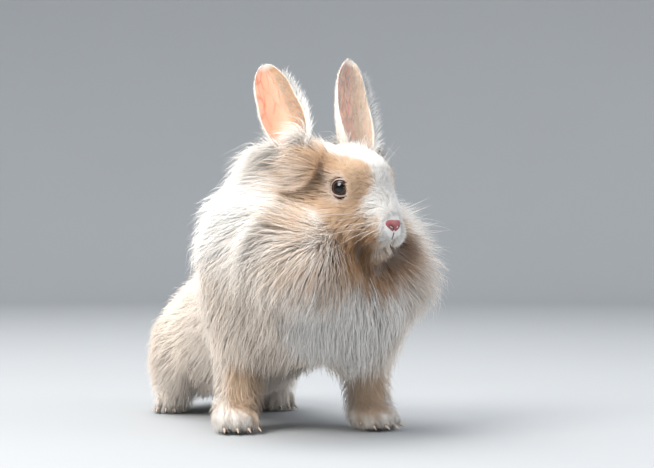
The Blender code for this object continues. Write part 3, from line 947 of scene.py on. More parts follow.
def strand_solid(strands):
    """Corners, their normals and the triangles of closed three-sided strands that narrow to a point.

    The normals lean from each strand's own towards the way out of the body, so that the coat is lit as
    one soft surface.
    """
    points = strands.points
    count, rings = points.shape[:2]
    along = unit(np.gradient(points, axis=1))
    across = unit(np.cross(along, strands.outward[:, None, :] + 1e-3))
    ridge = np.cross(across, along)
    share = np.linspace(0, 1, rings)
    width = strands.width[:, None, None] * strand_profile(share)[None, :, None]
    left = points - across * width / 2
    right = points + across * width / 2
    top = points + ridge * width * STRAND_FLATNESS
    soft = unit(NORMAL_SOFTNESS * strands.form + (1 - NORMAL_SOFTNESS) * ridge)
    body = np.stack((left, top, right), 2)[:, :-1].reshape(count, -1, 3)
    corners = np.concatenate((body, points[:, -1:]), 1)
    corners[..., 2] = np.maximum(corners[..., 2], FLOOR_GAP)
    lean = NORMAL_SPREAD * across
    normals = np.stack((soft - lean, soft, soft + lean), 2)[:, :-1].reshape(count, -1, 3)
    normals = unit(np.concatenate((normals, soft[:, -1:]), 1))
    faces = [(0, 2, 1)]
    for ring in range(rings - 2):
        for corner in range(3):
            here = 3 * ring + corner
            beside = 3 * ring + (corner + 1) % 3
            faces.append((here, beside, here + 3))
            faces.append((beside, beside + 3, here + 3))
    last = 3 * (rings - 2)
    tip = 3 * (rings - 1)
    for corner in range(3):
        faces.append((last + corner, last + (corner + 1) % 3, tip))
    each = np.array(faces)
    size = tip + 1
    triangles = (each[None] + size * np.arange(count)[:, None, None]).reshape(-1, 3)
    ring_share = np.append(np.repeat(share[:-1], 3), 1.0)
    return corners.reshape(-1, 3), normals.reshape(-1, 3), triangles, each, ring_share


# Meshes

def piece_from(name, points, faces, material):
    """A new object with this mesh: points in millimetres, faces as one array of corners or several."""
    groups = faces if isinstance(faces, list) else [faces]
    widths = np.concatenate([np.full(len(group), group.shape[1]) for group in groups])
    corners = np.concatenate([group.ravel() for group in groups])
    mesh = bpy.data.meshes.new(name)
    mesh.vertices.add(len(points))
    mesh.vertices.foreach_set("co", (points * MM).astype(np.float32).ravel())
    mesh.loops.add(len(corners))
    mesh.loops.foreach_set("vertex_index", corners.astype(np.int32))
    mesh.polygons.add(len(widths))
    mesh.polygons.foreach_set("loop_start", (np.cumsum(widths) - widths).astype(np.int32))
    mesh.polygons.foreach_set("use_smooth", np.full(len(widths), True))
    mesh.update(calc_edges=True)
    if mesh.validate():
        raise RuntimeError(f"{name} had faces that Blender had to mend")
    made = bpy.data.objects.new(name, mesh)
    bpy.context.scene.collection.objects.link(made)
    mesh.materials.append(material)
    return made


def add_attribute(item, name, kind, values):
    """Stores one value for each corner point: kind FLOAT_VECTOR or FLOAT_COLOR."""
    attribute = item.data.attributes.new(name, kind, "POINT")
    key = {"FLOAT_VECTOR": "vector", "FLOAT_COLOR": "color"}[kind]
    attribute.data.foreach_set(key, np.ascontiguousarray(values, np.float32).ravel())


def turns(count):
    """Even angles round a full turn."""
    return np.linspace(0, 2 * np.pi, count, endpoint=False)


def ball_grid(rows, columns):
    """(polar, turn) of a ball's rings: the angle from its front pole and the angle round it."""
    return np.meshgrid(np.linspace(0, np.pi, rows + 2)[1:-1], turns(columns), indexing="ij")


def capped_rings(rows, columns):
    """Faces of a row of rings, closed by fans about two more points: the first ring's, then the last's."""
    index = np.arange(rows * columns).reshape(rows, columns)
    beside = np.roll(index, -1, 1)
    quads = np.stack((index[:-1], index[1:], beside[1:], beside[:-1]), -1).reshape(-1, 4)
    first, last = np.full(columns, rows * columns), np.full(columns, rows * columns + 1)
    fans = (np.stack((index[0], beside[0], first), 1), np.stack((beside[-1], index[-1], last), 1))
    return quads, np.concatenate(fans)


def strand_piece(name, groups, charts, material):
    """One coat piece from groups of strands, each tuft a small patch of the map at its root's place."""
    points, normals, faces, marks, looks, patches = [], [], [], [], [], []
    start = 0
    for strands, chart in zip(groups, charts):
        corners, ways, triangles, each, share = strand_solid(strands)
        count = len(strands.points)
        points.append(corners)
        normals.append(ways)
        faces.append(triangles + start)
        start += len(corners)
        marks.append(np.repeat(strands.markings, len(share), 0))
        look = np.empty((count, len(share), 3))
        look[..., 0] = share
        look[..., 1:] = strands.tint[:, None, :]
        looks.append(look.reshape(-1, 3))
        corner_side = np.append(np.tile((0, 0.5, 1), (len(share) - 1) // 3), 0.5)
        spot = np.stack((share, corner_side), 1)[each.ravel()] - 0.5
        patches.append((chart[:, None, :] + PATCH_SIZE * spot[None]).reshape(-1, 2))
    made = piece_from(name, np.concatenate(points), np.concatenate(faces), material)
    add_attribute(made, "custom_normal", "FLOAT_VECTOR", np.concatenate(normals))
    add_attribute(made, "markings", "FLOAT_COLOR", np.concatenate(marks))
    add_attribute(made, "strand", "FLOAT_VECTOR", np.concatenate(looks))
    layer = made.data.uv_layers.new(name="OFBake")
    layer.uv.foreach_set("vector", np.concatenate(patches).astype(np.float32).ravel())
    return made


def in_cell(cell, across, up):
    """Places on the map: shares from 0 to 1 across and up a cell given by left, bottom, right and top."""
    left, bottom, right, top = cell
    return np.stack((left + (right - left) * across, bottom + (top - bottom) * up), 1)


def square_cell(left, bottom, size):
    """A square of the map, less a margin."""
    most = size - MAP_MARGIN
    return (left + MAP_MARGIN, bottom + MAP_MARGIN, left + most, bottom + most)


def compass_share(arrows):
    """Each arrow's way round, seen from above, as a share of a full turn."""
    return np.arctan2(arrows[:, 0], -arrows[:, 1]) / (2 * np.pi) + 0.5


def ball_chart(roots, centre):
    """An unwrap about a centre: the compass angle, and the height's share of the radius."""
    arrows = unit(roots - centre)
    return in_cell(square_cell(0, 0, 1), compass_share(arrows), arrows[:, 2] / 2 + 0.5)


FACE_SEEDS = ((30, 6, -18), (16, 12, -4), (4, 20, 2), (8, 8, 22), (27, 8, -34), (22, 3, -47))
CHEEK_SEEDS = ((6, 17, -34), (-9, 21, -16), (-14, 18, 8))
RUFF_SEEDS = ((-28, 34, -28), (-2, 32, -54), (-36, 20, 12))
MANE_SEEDS = ((-38, 45, 150), (-45, 20, 185))
CHEST_SEEDS = ((34, 10, 112), (28, 12, 75), (0, 52, 95))
BACK_SEEDS = ((-95, 45, 90), (-100, 10, 135), (-105, 10, 35))
RUMP_SEEDS = ((0, 45, 60), (-10, 10, 100), (-42, 8, 50))
FOREPAW_SEEDS = ((-6, 0, 12), (-6, 0, 40))
HIND_FOOT_SEEDS = ((-20, 0, 8), (24, 0, 8))


def region_rows():
    """The coat's regions: each takes the skin nearest to its seeds, unwrapped about its middle."""
    legs = []
    for side in SIDES:
        legs += spots_on(FOREPAWS[side], FOREPAW_SEEDS) + spots_on(HIND_FEET[side], HIND_FOOT_SEEDS)
    head = HEAD.point(-8, 0, -10)
    body = BODY.point(-100, 0, 80)
    chest = BODY.point(0, 5, 95)
    rump = HIPS.point(0, 0, 60)
    rows = [
        Region("coat_face", 16400, 3, spots_on(HEAD, FACE_SEEDS, BOTH), head, "coat_tan"),
        Region("coat_chest", 9600, 4, spots_on(BODY, CHEST_SEEDS, BOTH), chest, "coat_white"),
        Region("coat_back", 7500, 4, spots_on(BODY, BACK_SEEDS, BOTH), body, "coat_cream"),
        Region("coat_rump", 7600, 4, spots_on(HIPS, RUMP_SEEDS, BOTH), rump, "coat_cream"),
        Region("coat_legs", 8500, 3, legs, None, "coat_cream"),
    ]
    for side, sign in SIDES.items():
        cheek = spots_on(HEAD, CHEEK_SEEDS, (sign,))
        ruff = spots_on(HEAD, RUFF_SEEDS, (sign,))
        mane = spots_on(BODY, MANE_SEEDS, (sign,))
        rows.append(Region("coat_cheek_" + side, 7200, 4, cheek, head, "coat_tan"))
        rows.append(Region("coat_ruff_" + side, 8000, 4, ruff, head, "coat_white"))
        rows.append(Region("coat_mane_" + side, 7500, 4, mane, chest, "coat_white"))
    return rows


def leg_chart(roots):
    """Each leg's own upright unwrap, in a quarter of the map."""
    centres = [FOREPAWS[side].point(-4, 0, 0) for side in SIDES]
    centres += [HIND_FEET[side].origin for side in SIDES]
    nearest = np.argmin([np.linalg.norm((roots - centre)[:, :2], axis=1) for centre in centres], 0)
    chart = np.zeros((len(roots), 2))
    for index, centre in enumerate(centres):
        cell = square_cell(0.5 * (index % 2), 0.5 * (index // 2), 0.5)
        own = nearest == index
        high = np.clip(roots[own, 2] / LEG_TOP, 0, 1)
        chart[own] = in_cell(cell, compass_share(roots[own] - centre), high)
    return chart


def mouth_path(sign):
    """The lips' line on one side: down the cleft under the nose, then out and back to the mouth's corner."""
    spots = np.array(spots_on(HEAD, MOUTH_LINE, (sign,)))
    knots = np.linspace(0, 1, len(spots))
    share = np.linspace(0, 1, MOUTH_RINGS)
    path = np.stack([np.interp(share, knots, spots[:, axis]) for axis in range(3)], 1)
    return on_skin(path, MOUTH_DEPTH)


def on_skin(points, depth=0.0):
    """The points moved to the skin, or to a depth under it, along the way out of it."""
    skin = forms()[1]
    for _ in range(3):
        points = points - skin.slope(points) * (skin.at(points) + depth)[:, None]
    return points


def bare_places(points):
    """True where no hair grows: in the eye sockets, on the nose and along the lips' line."""
    bare = eye_gap(points) < EYE_RADIUS + BARE_EYE
    bare |= np.linalg.norm(points - NOSE, axis=1) < BARE_NOSE
    for sign in BOTH:
        gaps = np.linalg.norm(points[:, None, :] - mouth_path(sign)[None], axis=2)
        bare |= gaps.min(1) < BARE_LIP
    return bare


def scattered(points, faces, count, weight, rng):
    """Random roots on the weighted faces."""
    quads = points[faces]
    chosen = rng.choice(len(faces), count, p=weight / weight.sum())
    across, along = rng.random((2, count, 1))
    corner = quads[chosen]
    low = corner[:, 0] * (1 - across) + corner[:, 1] * across
    high = corner[:, 3] * (1 - across) + corner[:, 2] * across
    return low * (1 - along) + high * along


def growing(points, faces):
    """(middle, weight) of each face: its area, more where the hair is short, and nothing where none grows."""
    quads = points[faces]
    middle = quads.mean(1)
    area = np.linalg.norm(np.cross(quads[:, 2] - quads[:, 0], quads[:, 3] - quads[:, 1]), axis=1) / 2
    _, length = combed(middle)
    weight = area * (6 / (length + 4)) ** 0.7
    weight[bare_places(middle) | (middle[:, 2] < SKIN_FLOOR + 0.4)] = 0
    return middle, weight


# Ears

def ear_axes(side):
    """The ear's root, the way it rises, and the way its opening faces."""
    root = spots_on(HEAD, (EAR_ROOT,), (SIDES[side],))[0]
    rise = HEAD.direction(*EAR_RISE[side])
    opening = HEAD.direction(*EAR_OPENING[side])
    return root, rise, unit(opening - rise * (opening @ rise))


def ear_point(side, along, across, out):
    """A point of the ear: arcs about a line in front of its spine, nearly closed at the root.

    along runs 0 to 1 from root to tip, across -1 to 1 from edge to edge, and out is the height over the
    middle sheet, which is positive on the ear's back.
    """
    root, rise, opening = ear_axes(side)
    sideways = np.cross(rise, opening)
    share = np.clip(along, 0, 1)
    half_angle = np.radians(132 - 82 * np.minimum(share * 1.25, 1) ** 0.8)
    leaf = (1 - share**3.4) ** 0.6
    foot = 0.6 + 0.4 * smooth_step(share, 0, 0.2)
    arc = EAR_HALF_WIDTH * leaf * foot * (0.86 + 0.14 * np.sin(np.pi * np.minimum(share * 1.6, 1)))
    radius = arc / half_angle
    curl_back = 0.06 * np.sin(np.pi * share) * EAR_LENGTH
    angle = half_angle * across
    spine = root + (along * EAR_LENGTH)[..., None] * rise - curl_back[..., None] * opening
    wide = ((radius + out) * np.sin(angle))[..., None] * sideways
    deep = (radius - (radius + out) * np.cos(angle))[..., None] * opening
    return spine + wide + deep


def make_ear(side, material):
    """The ear's skin: one closed loop round each section, thick in the middle and thin at the edges."""
    rows, columns = 72, 96
    turn = np.linspace(0, 1, columns, endpoint=False)
    back = np.where(turn < 0.5, 1, -1)
    along, across = np.meshgrid(
        np.linspace(-0.02, 1, rows), np.where(turn < 0.5, 4 * turn - 1, 3 - 4 * turn), indexing="ij"
    )
    share = np.clip(along, 0, 1)
    thick = EAR_THICKNESS * (1 - 0.75 * across**6) * (1 - 0.6 * share**6)
    out = np.where(np.abs(across) > 0.999, 0, thick * back)
    points = ear_point(side, along, across * 0.995, out)
    wave = 0.4 * ripple(points.reshape(-1, 3), 14, 31).reshape(out.shape)
    points = ear_point(side, along, across * 0.995, out + wave * share)
    ends = (points[0].mean(0), points[-1].mean(0))
    faces = list(capped_rings(rows, columns))
    ear = piece_from("ear_skin_" + side, np.concatenate((points.reshape(-1, 3), ends)), faces, material)
    inner = np.where(back < 0, EAR_BARENESS[side], 0.0) * np.ones((rows, 1))
    sheet = np.stack((across, along, inner), -1).reshape(-1, 3)
    add_attribute(ear, "sheet", "FLOAT_VECTOR", np.concatenate((sheet, [(0, 0, 0), (0, 1, 0)])))
    return ear


EAR_HAIR = (
    EarHair(
        "back", SIDES, 2100, (0, 1), (-0.97, 0.97), (4, 7), (0.1, 0, 0.4, 0),
        shorten=0.7, rise=1, spread=0.05, lift=0.16, out=0.9,
    ),
    EarHair(
        "rim", SIDES, 500, (0, 1), (0.95, 1), (1.6, 3), (0.1, 0, 0.3, 0),
        shorten=0.4, rise=1, spread=0.4, lift=0.1,
    ),
    EarHair(
        "far_rim", SIDES, 500, (0, 1), (-1, -0.95), (1.6, 3), (0.3, 0, 0.5, 0),
        shorten=0.4, rise=1, spread=0.3, lift=0.1,
    ),
    EarHair(
        "fringe", SIDES, 420, (0.05, 0.85), (0.8, 1), (8, 17), (0, 0, 0.1, 0),
        shorten=0.5, rise=0.9, spread=0.7, lift=0.3, droop=0.15, out=0.3,
    ),
    EarHair(
        "wool", SIDES, 1400, (-0.02, 0.2), (-1, 1), (22, 44), (0.1, 0, 0.3, 0.5),
        rise=0.25, lift=0.35, sweep=0.85, droop=0.45, out=0.9,
    ),
    EarHair(
        "cuff", SIDES, 500, (-0.02, 0.2), (-1, 1), (12, 24), (0.1, 0, 0.3, 0.3),
        rise=0.15, lift=0.4, sweep=0.7, droop=0.45, out=0.9,
    ),
    EarHair(
        "tuft", SIDES, 450, (-0.02, 0.16), (-1, 1), (14, 26), (0.1, 0, 0.5, 0.3),
        rise=0.5, lift=0.6, sweep=0.6, droop=0.3, out=-0.9,
    ),
    EarHair(
        "fold", ("right",), 700, (0, 0.85), (0.35, 0.95), (4, 8), (0.8, 0.1, 0.5, 0.3),
        shorten=0.3, rise=1, spread=-0.2, lift=0.2, out=-0.9,
    ),
    EarHair(
        "lining", ("left",), 1300, (0, 0.93), (-0.9, 0.95), (4, 8), (0.25, 0, 0.9, 0),
        shorten=0.3, rise=1, lift=0.2, out=-0.9,
    ),
)


def ear_strands(side, row, rng):
    """(strands, place on the ear) of one kind of ear hair, straight but for a droop by its share's square."""
    count = row.count
    _, _, opening = ear_axes(side)
    along = rng.uniform(*row.along, count)
    across = rng.uniform(*row.across, count)
    length = rng.uniform(*row.length, count) * (1 - row.shorten * np.clip(along, 0, 1) ** 2)
    out = np.full(count, row.out)
    root = ear_point(side, along, across, out)
    ahead = unit(ear_point(side, along + 0.02, across, out) - root)
    away = unit(ear_point(side, along, across, out + 1.0) - root)
    if row.out < 0:
        away = -away
    aside = unit(ear_point(side, along, across * 1.05, out) - root)
    sweep = HEAD.direction(-0.45, 0.9 * SIDES[side], 0.15)
    stray = 0.14 * rng.normal(size=(count, 3))
    way = unit(row.rise * ahead + row.spread * aside + row.lift * away + row.sweep * sweep + stray)
    share = np.linspace(0, 1, EAR_HAIR_RINGS)
    points = root[:, None] + way[:, None] * (length[:, None] * share[None])[..., None]
    droop = np.array((0, 0, -1.0)) - 0.4 * opening
    points = points + droop * (row.droop * length[:, None] * share[None] ** 2)[..., None]
    marks = np.tile(row.marks, (count, 1))
    marks[:, 0] += 0.4 * (1 - smooth_step(along, 0.0, 0.5)) * (row.name == "back")
    width = strand_width(length) * rng.uniform(0.7, 1.0, count)
    facing = unit(row.spread * aside + row.lift * away + row.sweep * sweep + 0.5 * ahead)
    form = np.repeat(facing[:, None], EAR_HAIR_RINGS, 1)
    strands = Strands(points, facing, form, width, marks, rng.random((count, 2)))
    return strands, np.stack((across, along), 1)


# Materials

class Value:
    """A shader socket that can stand in a sum: each operator adds a Math node."""

    def __init__(self, tree, socket):
        self.tree = tree
        self.socket = socket

    def math(self, operation, other=None, swapped=False, clamp=False):
        node = self.tree.nodes.new("ShaderNodeMath")
        node.operation = operation
        node.use_clamp = clamp
        pair = [self, other]
        if swapped:
            pair.reverse()
        for index, value in enumerate(pair):
            if isinstance(value, Value):
                self.tree.links.new(value.socket, node.inputs[index])
            elif value is not None:
                node.inputs[index].default_value = value
        return Value(self.tree, node.outputs[0])

    def __add__(self, other):
        return self.math("ADD", other)

    __radd__ = __add__

    def __sub__(self, other):
        return self.math("SUBTRACT", other)

    def __rsub__(self, other):
        return self.math("SUBTRACT", other, swapped=True)

    def __mul__(self, other):
        return self.math("MULTIPLY", other)

    __rmul__ = __mul__

    def clamped(self):
        return self.math("ADD", 0.0, clamp=True)

    def between(self, low, high):
        """0 below low, 1 above high, straight between."""
        return ((self - low) * (1 / (high - low))).clamped()


class Finish:
    """A material under construction: nodes by type, settings and inputs."""

    def __init__(self, name):
        self.material = bpy.data.materials.new(name)
        self.material.use_nodes = True
        self.tree = self.material.node_tree
        self.shader = self.tree.nodes["Principled BSDF"]

    def add(self, kind, settings=None, inputs=None, output=0):
        """A node's output: its settings are set first, then each input gets its value or its link."""
        node = self.tree.nodes.new(kind)
        for key, value in (settings or {}).items():
            setattr(node, key, value)
        for key, value in (inputs or {}).items():
            self.feed(node.inputs[key], value)
        return Value(self.tree, node.outputs[output])

    def feed(self, socket, value):
        if isinstance(value, Value):
            self.tree.links.new(value.socket, socket)
        else:
            socket.default_value = value

    def mix(self, first, second, amount):
        """A colour between two, by amount."""
        first, second = (end if isinstance(end, Value) else (*end, 1) for end in (first, second))
        settings = {"data_type": "RGBA"}
        return self.add("ShaderNodeMix", settings, {0: amount, 6: first, 7: second}, 2)

    def parts(self, name, kind):
        """An attribute of the mesh split into its parts: x, y, z of a vector, or a colour's four."""
        node = self.tree.nodes.new("ShaderNodeAttribute")
        node.attribute_name = name
        source, splitter = ("Vector", "XYZ") if kind == "vector" else ("Color", "Color")
        split = self.tree.nodes.new("ShaderNodeSeparate" + splitter)
        self.tree.links.new(node.outputs[source], split.inputs[0])
        outputs = list(split.outputs)
        if kind == "colour":
            outputs.append(node.outputs["Alpha"])
        return [Value(self.tree, output) for output in outputs]

    def noise(self, scale, detail=3.0, roughness=0.5):
        """Noise over the piece's own place, in metres: scale is cells to the metre."""
        where = self.add("ShaderNodeTexCoord", output=3)
        inputs = {"Vector": where, "Scale": scale, "Detail": detail, "Roughness": roughness}
        return self.add("ShaderNodeTexNoise", None, inputs)

    def bump(self, height, strength, distance):
        inputs = {"Height": height, "Strength": strength, "Distance": distance}
        return self.add("ShaderNodeBump", None, inputs)

    def finish(self, colour, roughness, normal=None, **constants):
        """Feeds the shader: varied sockets by link, and numbers straight on the shader."""
        self.feed(self.shader.inputs["Base Color"], colour)
        self.feed(self.shader.inputs["Roughness"], roughness)
        if normal is not None:
            self.feed(self.shader.inputs["Normal"], normal)
        for name, value in constants.items():
            self.shader.inputs[name.replace("_", " ")].default_value = value
        return self.material


def coat_colour(finish, settings):
    """(colour, fade): the markings' colours, mixed in order over white: cream, tan and brown."""
    tan, brown, cream, fade = finish.parts("markings", "colour")
    colour = finish.mix(settings.white, settings.cream, cream)
    colour = finish.mix(colour, settings.tan, tan)
    return finish.mix(colour, settings.brown, brown), fade


def scaled_colour(finish, colour, amount):
    """A colour made lighter or darker, by a Vector Math node."""
    settings = {"operation": "SCALE"}
    return finish.add("ShaderNodeVectorMath", settings, {0: colour, "Scale": amount})


def fur_material(settings):
    """Tufts: a little darker at the root as painted shade deep in the coat, paler at the tip where the
    markings fade, and each its own tone.
    """
    finish = Finish("fur")
    colour, fade = coat_colour(finish, settings)
    along, tone, warmth = finish.parts("strand", "vector")
    streak = (tone - 0.25).between(0.0, 0.4)
    colour = finish.mix(colour, settings.tip, fade * streak * along.between(0.05, 0.65))
    colour = finish.mix(colour, settings.cream, ((warmth - 0.7) * 0.8).clamped())
    # Painted shade: the roots are darker, as if shaded by the hair over them
    root = (1 - along.between(0.0, 0.7)) * 0.16
    shade = 1.05 - root + (tone - 0.5) * settings.variation
    colour = scaled_colour(finish, colour, shade)
    roughness = 0.62 + 0.2 * finish.noise(260)
    return finish.finish(colour, roughness, Specular_IOR_Level=0.2, Sheen_Weight=0.3, Sheen_Roughness=0.5)


def skin_material(settings):
    """The skin under the coat: the same markings, darkened as painted shade under the hairs and by a random
    mottle, with fine pores in the bump.
    """
    finish = Finish("skin")
    colour, _ = coat_colour(finish, settings)
    # Painted shade: the skin is darkened under the hairs, and mottled at random
    shade_and_mottle = 0.72 + 0.25 * finish.noise(180, 4)
    colour = scaled_colour(finish, colour, shade_and_mottle)
    normal = finish.bump(finish.noise(900, 4), 0.4, 0.0006)
    return finish.finish(colour, 0.85, normal, Specular_IOR_Level=0.2)


def ear_veins(finish, across, along):
    """Branching veins: thin lines between stretched Voronoi cells, some left out by noise."""
    warp = (finish.noise(60, 3) - 0.5) * 0.9
    inputs = {"X": across * 1.7 + warp, "Y": along * 3.2 + warp, "Z": 0.3}
    where = finish.add("ShaderNodeCombineXYZ", None, inputs)
    settings = {"feature": "DISTANCE_TO_EDGE"}
    gap = finish.add("ShaderNodeTexVoronoi", settings, {"Vector": where, "Scale": 1.5})
    strong = finish.noise(45, 2).between(0.42, 0.60)
    return (1 - gap * 9).clamped() * strong


def ear_material(settings):
    """The ear: pale fur on the back and rim, and inside it pink skin whose warm middle is brightened as
    painted glow of light through the ear, with veins beside a tan fold.
    """
    finish = Finish("ear_skin")
    across, along, bare = finish.parts("sheet", "vector")
    warp = finish.noise(70, 3) - 0.5
    fine = finish.noise(420, 4)
    # Painted glow: the middle of the inner ear is brightened as if lit through from behind
    flush_and_glow = (1.0 - (across + 0.3) * (across + 0.3) * 0.9).clamped() * along.between(-0.05, 0.3)
    pink = finish.mix(settings.skin_pink, settings.ear_glow_pink, flush_and_glow)
    pink = finish.mix(pink, settings.ear_vein, ear_veins(finish, across, along) * 0.9)
    fold = (across + warp * 0.3).between(0.18, 0.45)
    pink = finish.mix(pink, settings.tan, fold)
    pink = finish.mix(pink, settings.brown, fold * fine * 0.7)
    rim = (across.math("ABSOLUTE") + warp * 0.12).between(0.93, 0.995)
    tip = along.between(0.93, 0.98)
    pale = finish.mix(settings.white, settings.cream, fine)
    cover = ((1 - bare) + rim + tip).clamped()
    colour = finish.mix(pink, pale, cover)
    normal = finish.bump(fine, 0.35, 0.0005)
    return finish.finish(
        colour, 0.6, normal, Subsurface_Weight=0.25, Subsurface_Scale=0.004, Specular_IOR_Level=0.3
    )


def eye_material():
    """The eyeball: a black pupil in a deep brown iris, with the rest nearly black, under a wet gloss."""
    finish = Finish("eye_gloss")
    angle, _, _ = finish.parts("iris", "vector")
    streak = finish.noise(1400, 3)
    iris = finish.mix(IRIS_DARK, IRIS_BROWN, (streak * 1.3 - 0.25).clamped())
    pupil = angle.between(0.50, 0.60)
    white_edge = angle.between(1.10, 1.2)
    colour = finish.mix(PUPIL, iris, pupil)
    colour = finish.mix(colour, EYE_RIM, white_edge)
    return finish.finish(colour, 0.05, IOR=1.42, Coat_Weight=0.2, Coat_Roughness=0.02)


def lid_material():
    """The lids: a dark wet edge on the eye, then bare pink-grey skin."""
    finish = Finish("lid_skin")
    fine = finish.noise(700, 3)
    share, _, _ = finish.parts("lid", "vector")
    skin = finish.mix(LID_DARK, LID_PALE, fine)
    colour = finish.mix(LID_EDGE, skin, (share + (fine - 0.5) * 0.2).between(0.05, 0.3))
    normal = finish.bump(fine, 0.3, 0.0003)
    return finish.finish(colour, 0.45, normal)


def nose_material(settings):
    """The nose leather: rose red, with painted shade in the nostrils and the cleft under them, finely pebbled
    and a little moist.
    """
    finish = Finish("nose_leather")
    slit, rim, _ = finish.parts("nose", "vector")
    fine = finish.noise(1600, 3)
    colour = finish.mix(settings.nose_red, NOSE_PALE, (fine * 0.6 + rim * 0.35 - 0.3).clamped())
    # Painted shade: the nostrils and the cleft are darkened as if shaded inside
    colour = finish.mix(colour, NOSTRIL_SHADE, slit)
    normal = finish.bump(fine, 0.25, 0.0003)
    return finish.finish(colour, 0.45, normal, Coat_Weight=0.15, Coat_Roughness=0.3)


def mottled_material(name, ends, noise, roughness, bump=None, **constants):
    """A small plain part: two colours mixed by noise, which is its bump too where one is given."""
    finish = Finish(name)
    fleck = finish.noise(*noise)
    normal = finish.bump(fleck, *bump) if bump else None
    return finish.finish(finish.mix(*ends, fleck), roughness, normal, **constants)


def lip_material():
    # Painted shade: the cord is dark because the crease between the lips is shaded
    return mottled_material("lip_crease_shade", (LIP_SHADE_DARK, LIP_SHADE_PALE), (500, 3), 0.6)


def claw_material():
    """Claw horn: pale and warm, with faint streaks."""
    ends = (HORN_DARK, HORN_PALE)
    return mottled_material("claw_horn_look", ends, (500, 4), 0.35, (0.2, 0.0002), Coat_Weight=0.2)


def whisker_material():
    return mottled_material("whisker_hair", (WHISKER_DARK, WHISKER_PALE), (120, 2), 0.3)


def floor_material(settings):
    """The stage: a plain pale grey with the faintest unevenness."""
    pale = tuple(settings.floor_colour)
    ends = (pale, tuple(0.97 * part for part in pale))
    return mottled_material("stage_paper", ends, (3, 2), 0.8, Specular_IOR_Level=0.2)


# Face pieces

def eye_frame(side):
    """The eye's middle and its axes: outward along the gaze, forward along the lids, and up."""
    sign = SIDES[side]
    forward, outward, up = GAZE
    gaze = HEAD.direction(forward, sign * outward, up)
    lids = HEAD.direction(*LID_LINE)
    ahead = unit(lids - gaze * (gaze @ lids))
    return EYES[side], gaze, ahead, np.cross(gaze, ahead) * sign


def polar_point(frame_axes, polar, turn, radius):
    """A point around the gaze: polar is its angle from the gaze, turn its place round it."""
    centre, gaze, ahead, above = frame_axes
    round_way = np.cos(turn)[..., None] * ahead + np.sin(turn)[..., None] * above
    way = np.cos(polar)[..., None] * gaze + np.sin(polar)[..., None] * round_way
    return centre + radius[..., None] * way


def make_eye(side, material):
    """An eyeball: a sphere whose radius swells by a bell over the cornea."""
    rows, columns = 40, 56
    axes = eye_frame(side)
    polar, turn = ball_grid(rows, columns)
    radius = EYE_RADIUS * (0.985 + 0.035 * np.exp(-((polar / 0.6) ** 2)))
    points = polar_point(axes, polar, turn, radius).reshape(-1, 3)
    ends = polar_point(axes, np.array((0, np.pi)), np.zeros(2), EYE_RADIUS * np.array((1.02, 0.985)))
    faces = list(capped_rings(rows, columns))
    if SIDES[side] < 0:
        faces = [group[:, ::-1] for group in faces]
    eye = piece_from("eyeball_" + side, np.concatenate((points, ends)), faces, material)
    look = np.stack((polar, turn / (2 * np.pi), np.sin(turn)), -1).reshape(-1, 3)
    add_attribute(eye, "iris", "FLOAT_VECTOR", np.concatenate((look, [(0, 0, 0), (np.pi, 0, 0)])))
    return eye


# The lids' section: degrees out from the opening, height over the eyeball and share of the way out
LID_PROFILE = (
    (0, 0.1, 0),
    (1.2, 0.5, 0.1),
    (4.5, 0.85, 0.4),
    (10, 0.7, 0.75),
    (18, -0.3, 1),
    (20, -1.6, 1),
    (9, -0.6, 0.5),
    (2, -0.2, 0),
)


def make_lids(side, material):
    """Both lids as one ring: a flat closed profile carried round an almond-shaped opening on the eyeball.

    The opening's half width is 47 + 8 cos 2t + 3 cos t - sin t degrees, at the angle t round the gaze.
    """
    columns = 64
    turn = turns(columns)[:, None]
    opening = 47 + 8 * np.cos(2 * turn) + 3 * np.cos(turn) - np.sin(turn)
    profile = np.array(LID_PROFILE)
    polar = np.radians(opening + profile[:, 0])
    flat = np.zeros_like(polar)
    points = polar_point(eye_frame(side), polar, turn + flat, EYE_RADIUS + profile[:, 1] + flat)
    index = np.arange(columns * len(profile)).reshape(columns, -1)
    beside = np.roll(index, -1, 0)
    quads = np.stack((index, np.roll(index, -1, 1), np.roll(beside, -1, 1), beside), -1).reshape(-1, 4)
    if SIDES[side] < 0:
        quads = quads[:, ::-1]
    lids = piece_from("eyelids_" + side, points.reshape(-1, 3), quads, material)
    look = np.zeros((index.size, 3))
    look[:, 0] = np.tile(profile[:, 2], columns)
    add_attribute(lids, "lid", "FLOAT_VECTOR", look)
    return lids


def make_nose(material):
    """The nose: an ellipsoid whose radius dips in two comma-shaped nostrils and a cleft under them."""
    rows, columns = 48, 64
    polar, turn = ball_grid(rows, columns)
    forward = np.cos(polar)
    left = np.sin(polar) * np.cos(turn)
    up = np.sin(polar) * np.sin(turn)
    aside = np.abs(left)
    line = up - 0.02 - 0.55 * (aside - 0.25)
    slit = np.exp(-((line / 0.19) ** 2)) * smooth_step(aside, 0.12, 0.24)
    slit = slit * (1 - smooth_step(aside, 0.58, 0.72)) * smooth_step(forward, -0.1, 0.3)
    cleft = np.exp(-((left / 0.09) ** 2)) * smooth_step(-up, 0.0, 0.3)
    radius = (1.02 - 0.24 * slit - 0.16 * cleft)[..., None]
    shape = np.stack((forward, left * (0.86 + 0.24 * up), up), -1) * NOSE_HALF * radius
    ends = np.array(((1, 0, 0), (-1, 0, 0))) * NOSE_HALF
    shape = pitched(np.concatenate((shape.reshape(-1, 3), ends)), NOSE_PITCH)
    points = HEAD.point(*NOSE_CENTRE) + shape @ HEAD.axes
    nose = piece_from("nose_leather", points, list(capped_rings(rows, columns)), material)
    # The first value marks painted shade in the nostrils and the cleft
    look = np.stack((np.maximum(slit, 0.6 * cleft), smooth_step(up, 0.1, 0.8), slit), -1).reshape(-1, 3)
    add_attribute(nose, "nose", "FLOAT_VECTOR", np.concatenate((look, np.zeros((2, 3)))))
    return nose


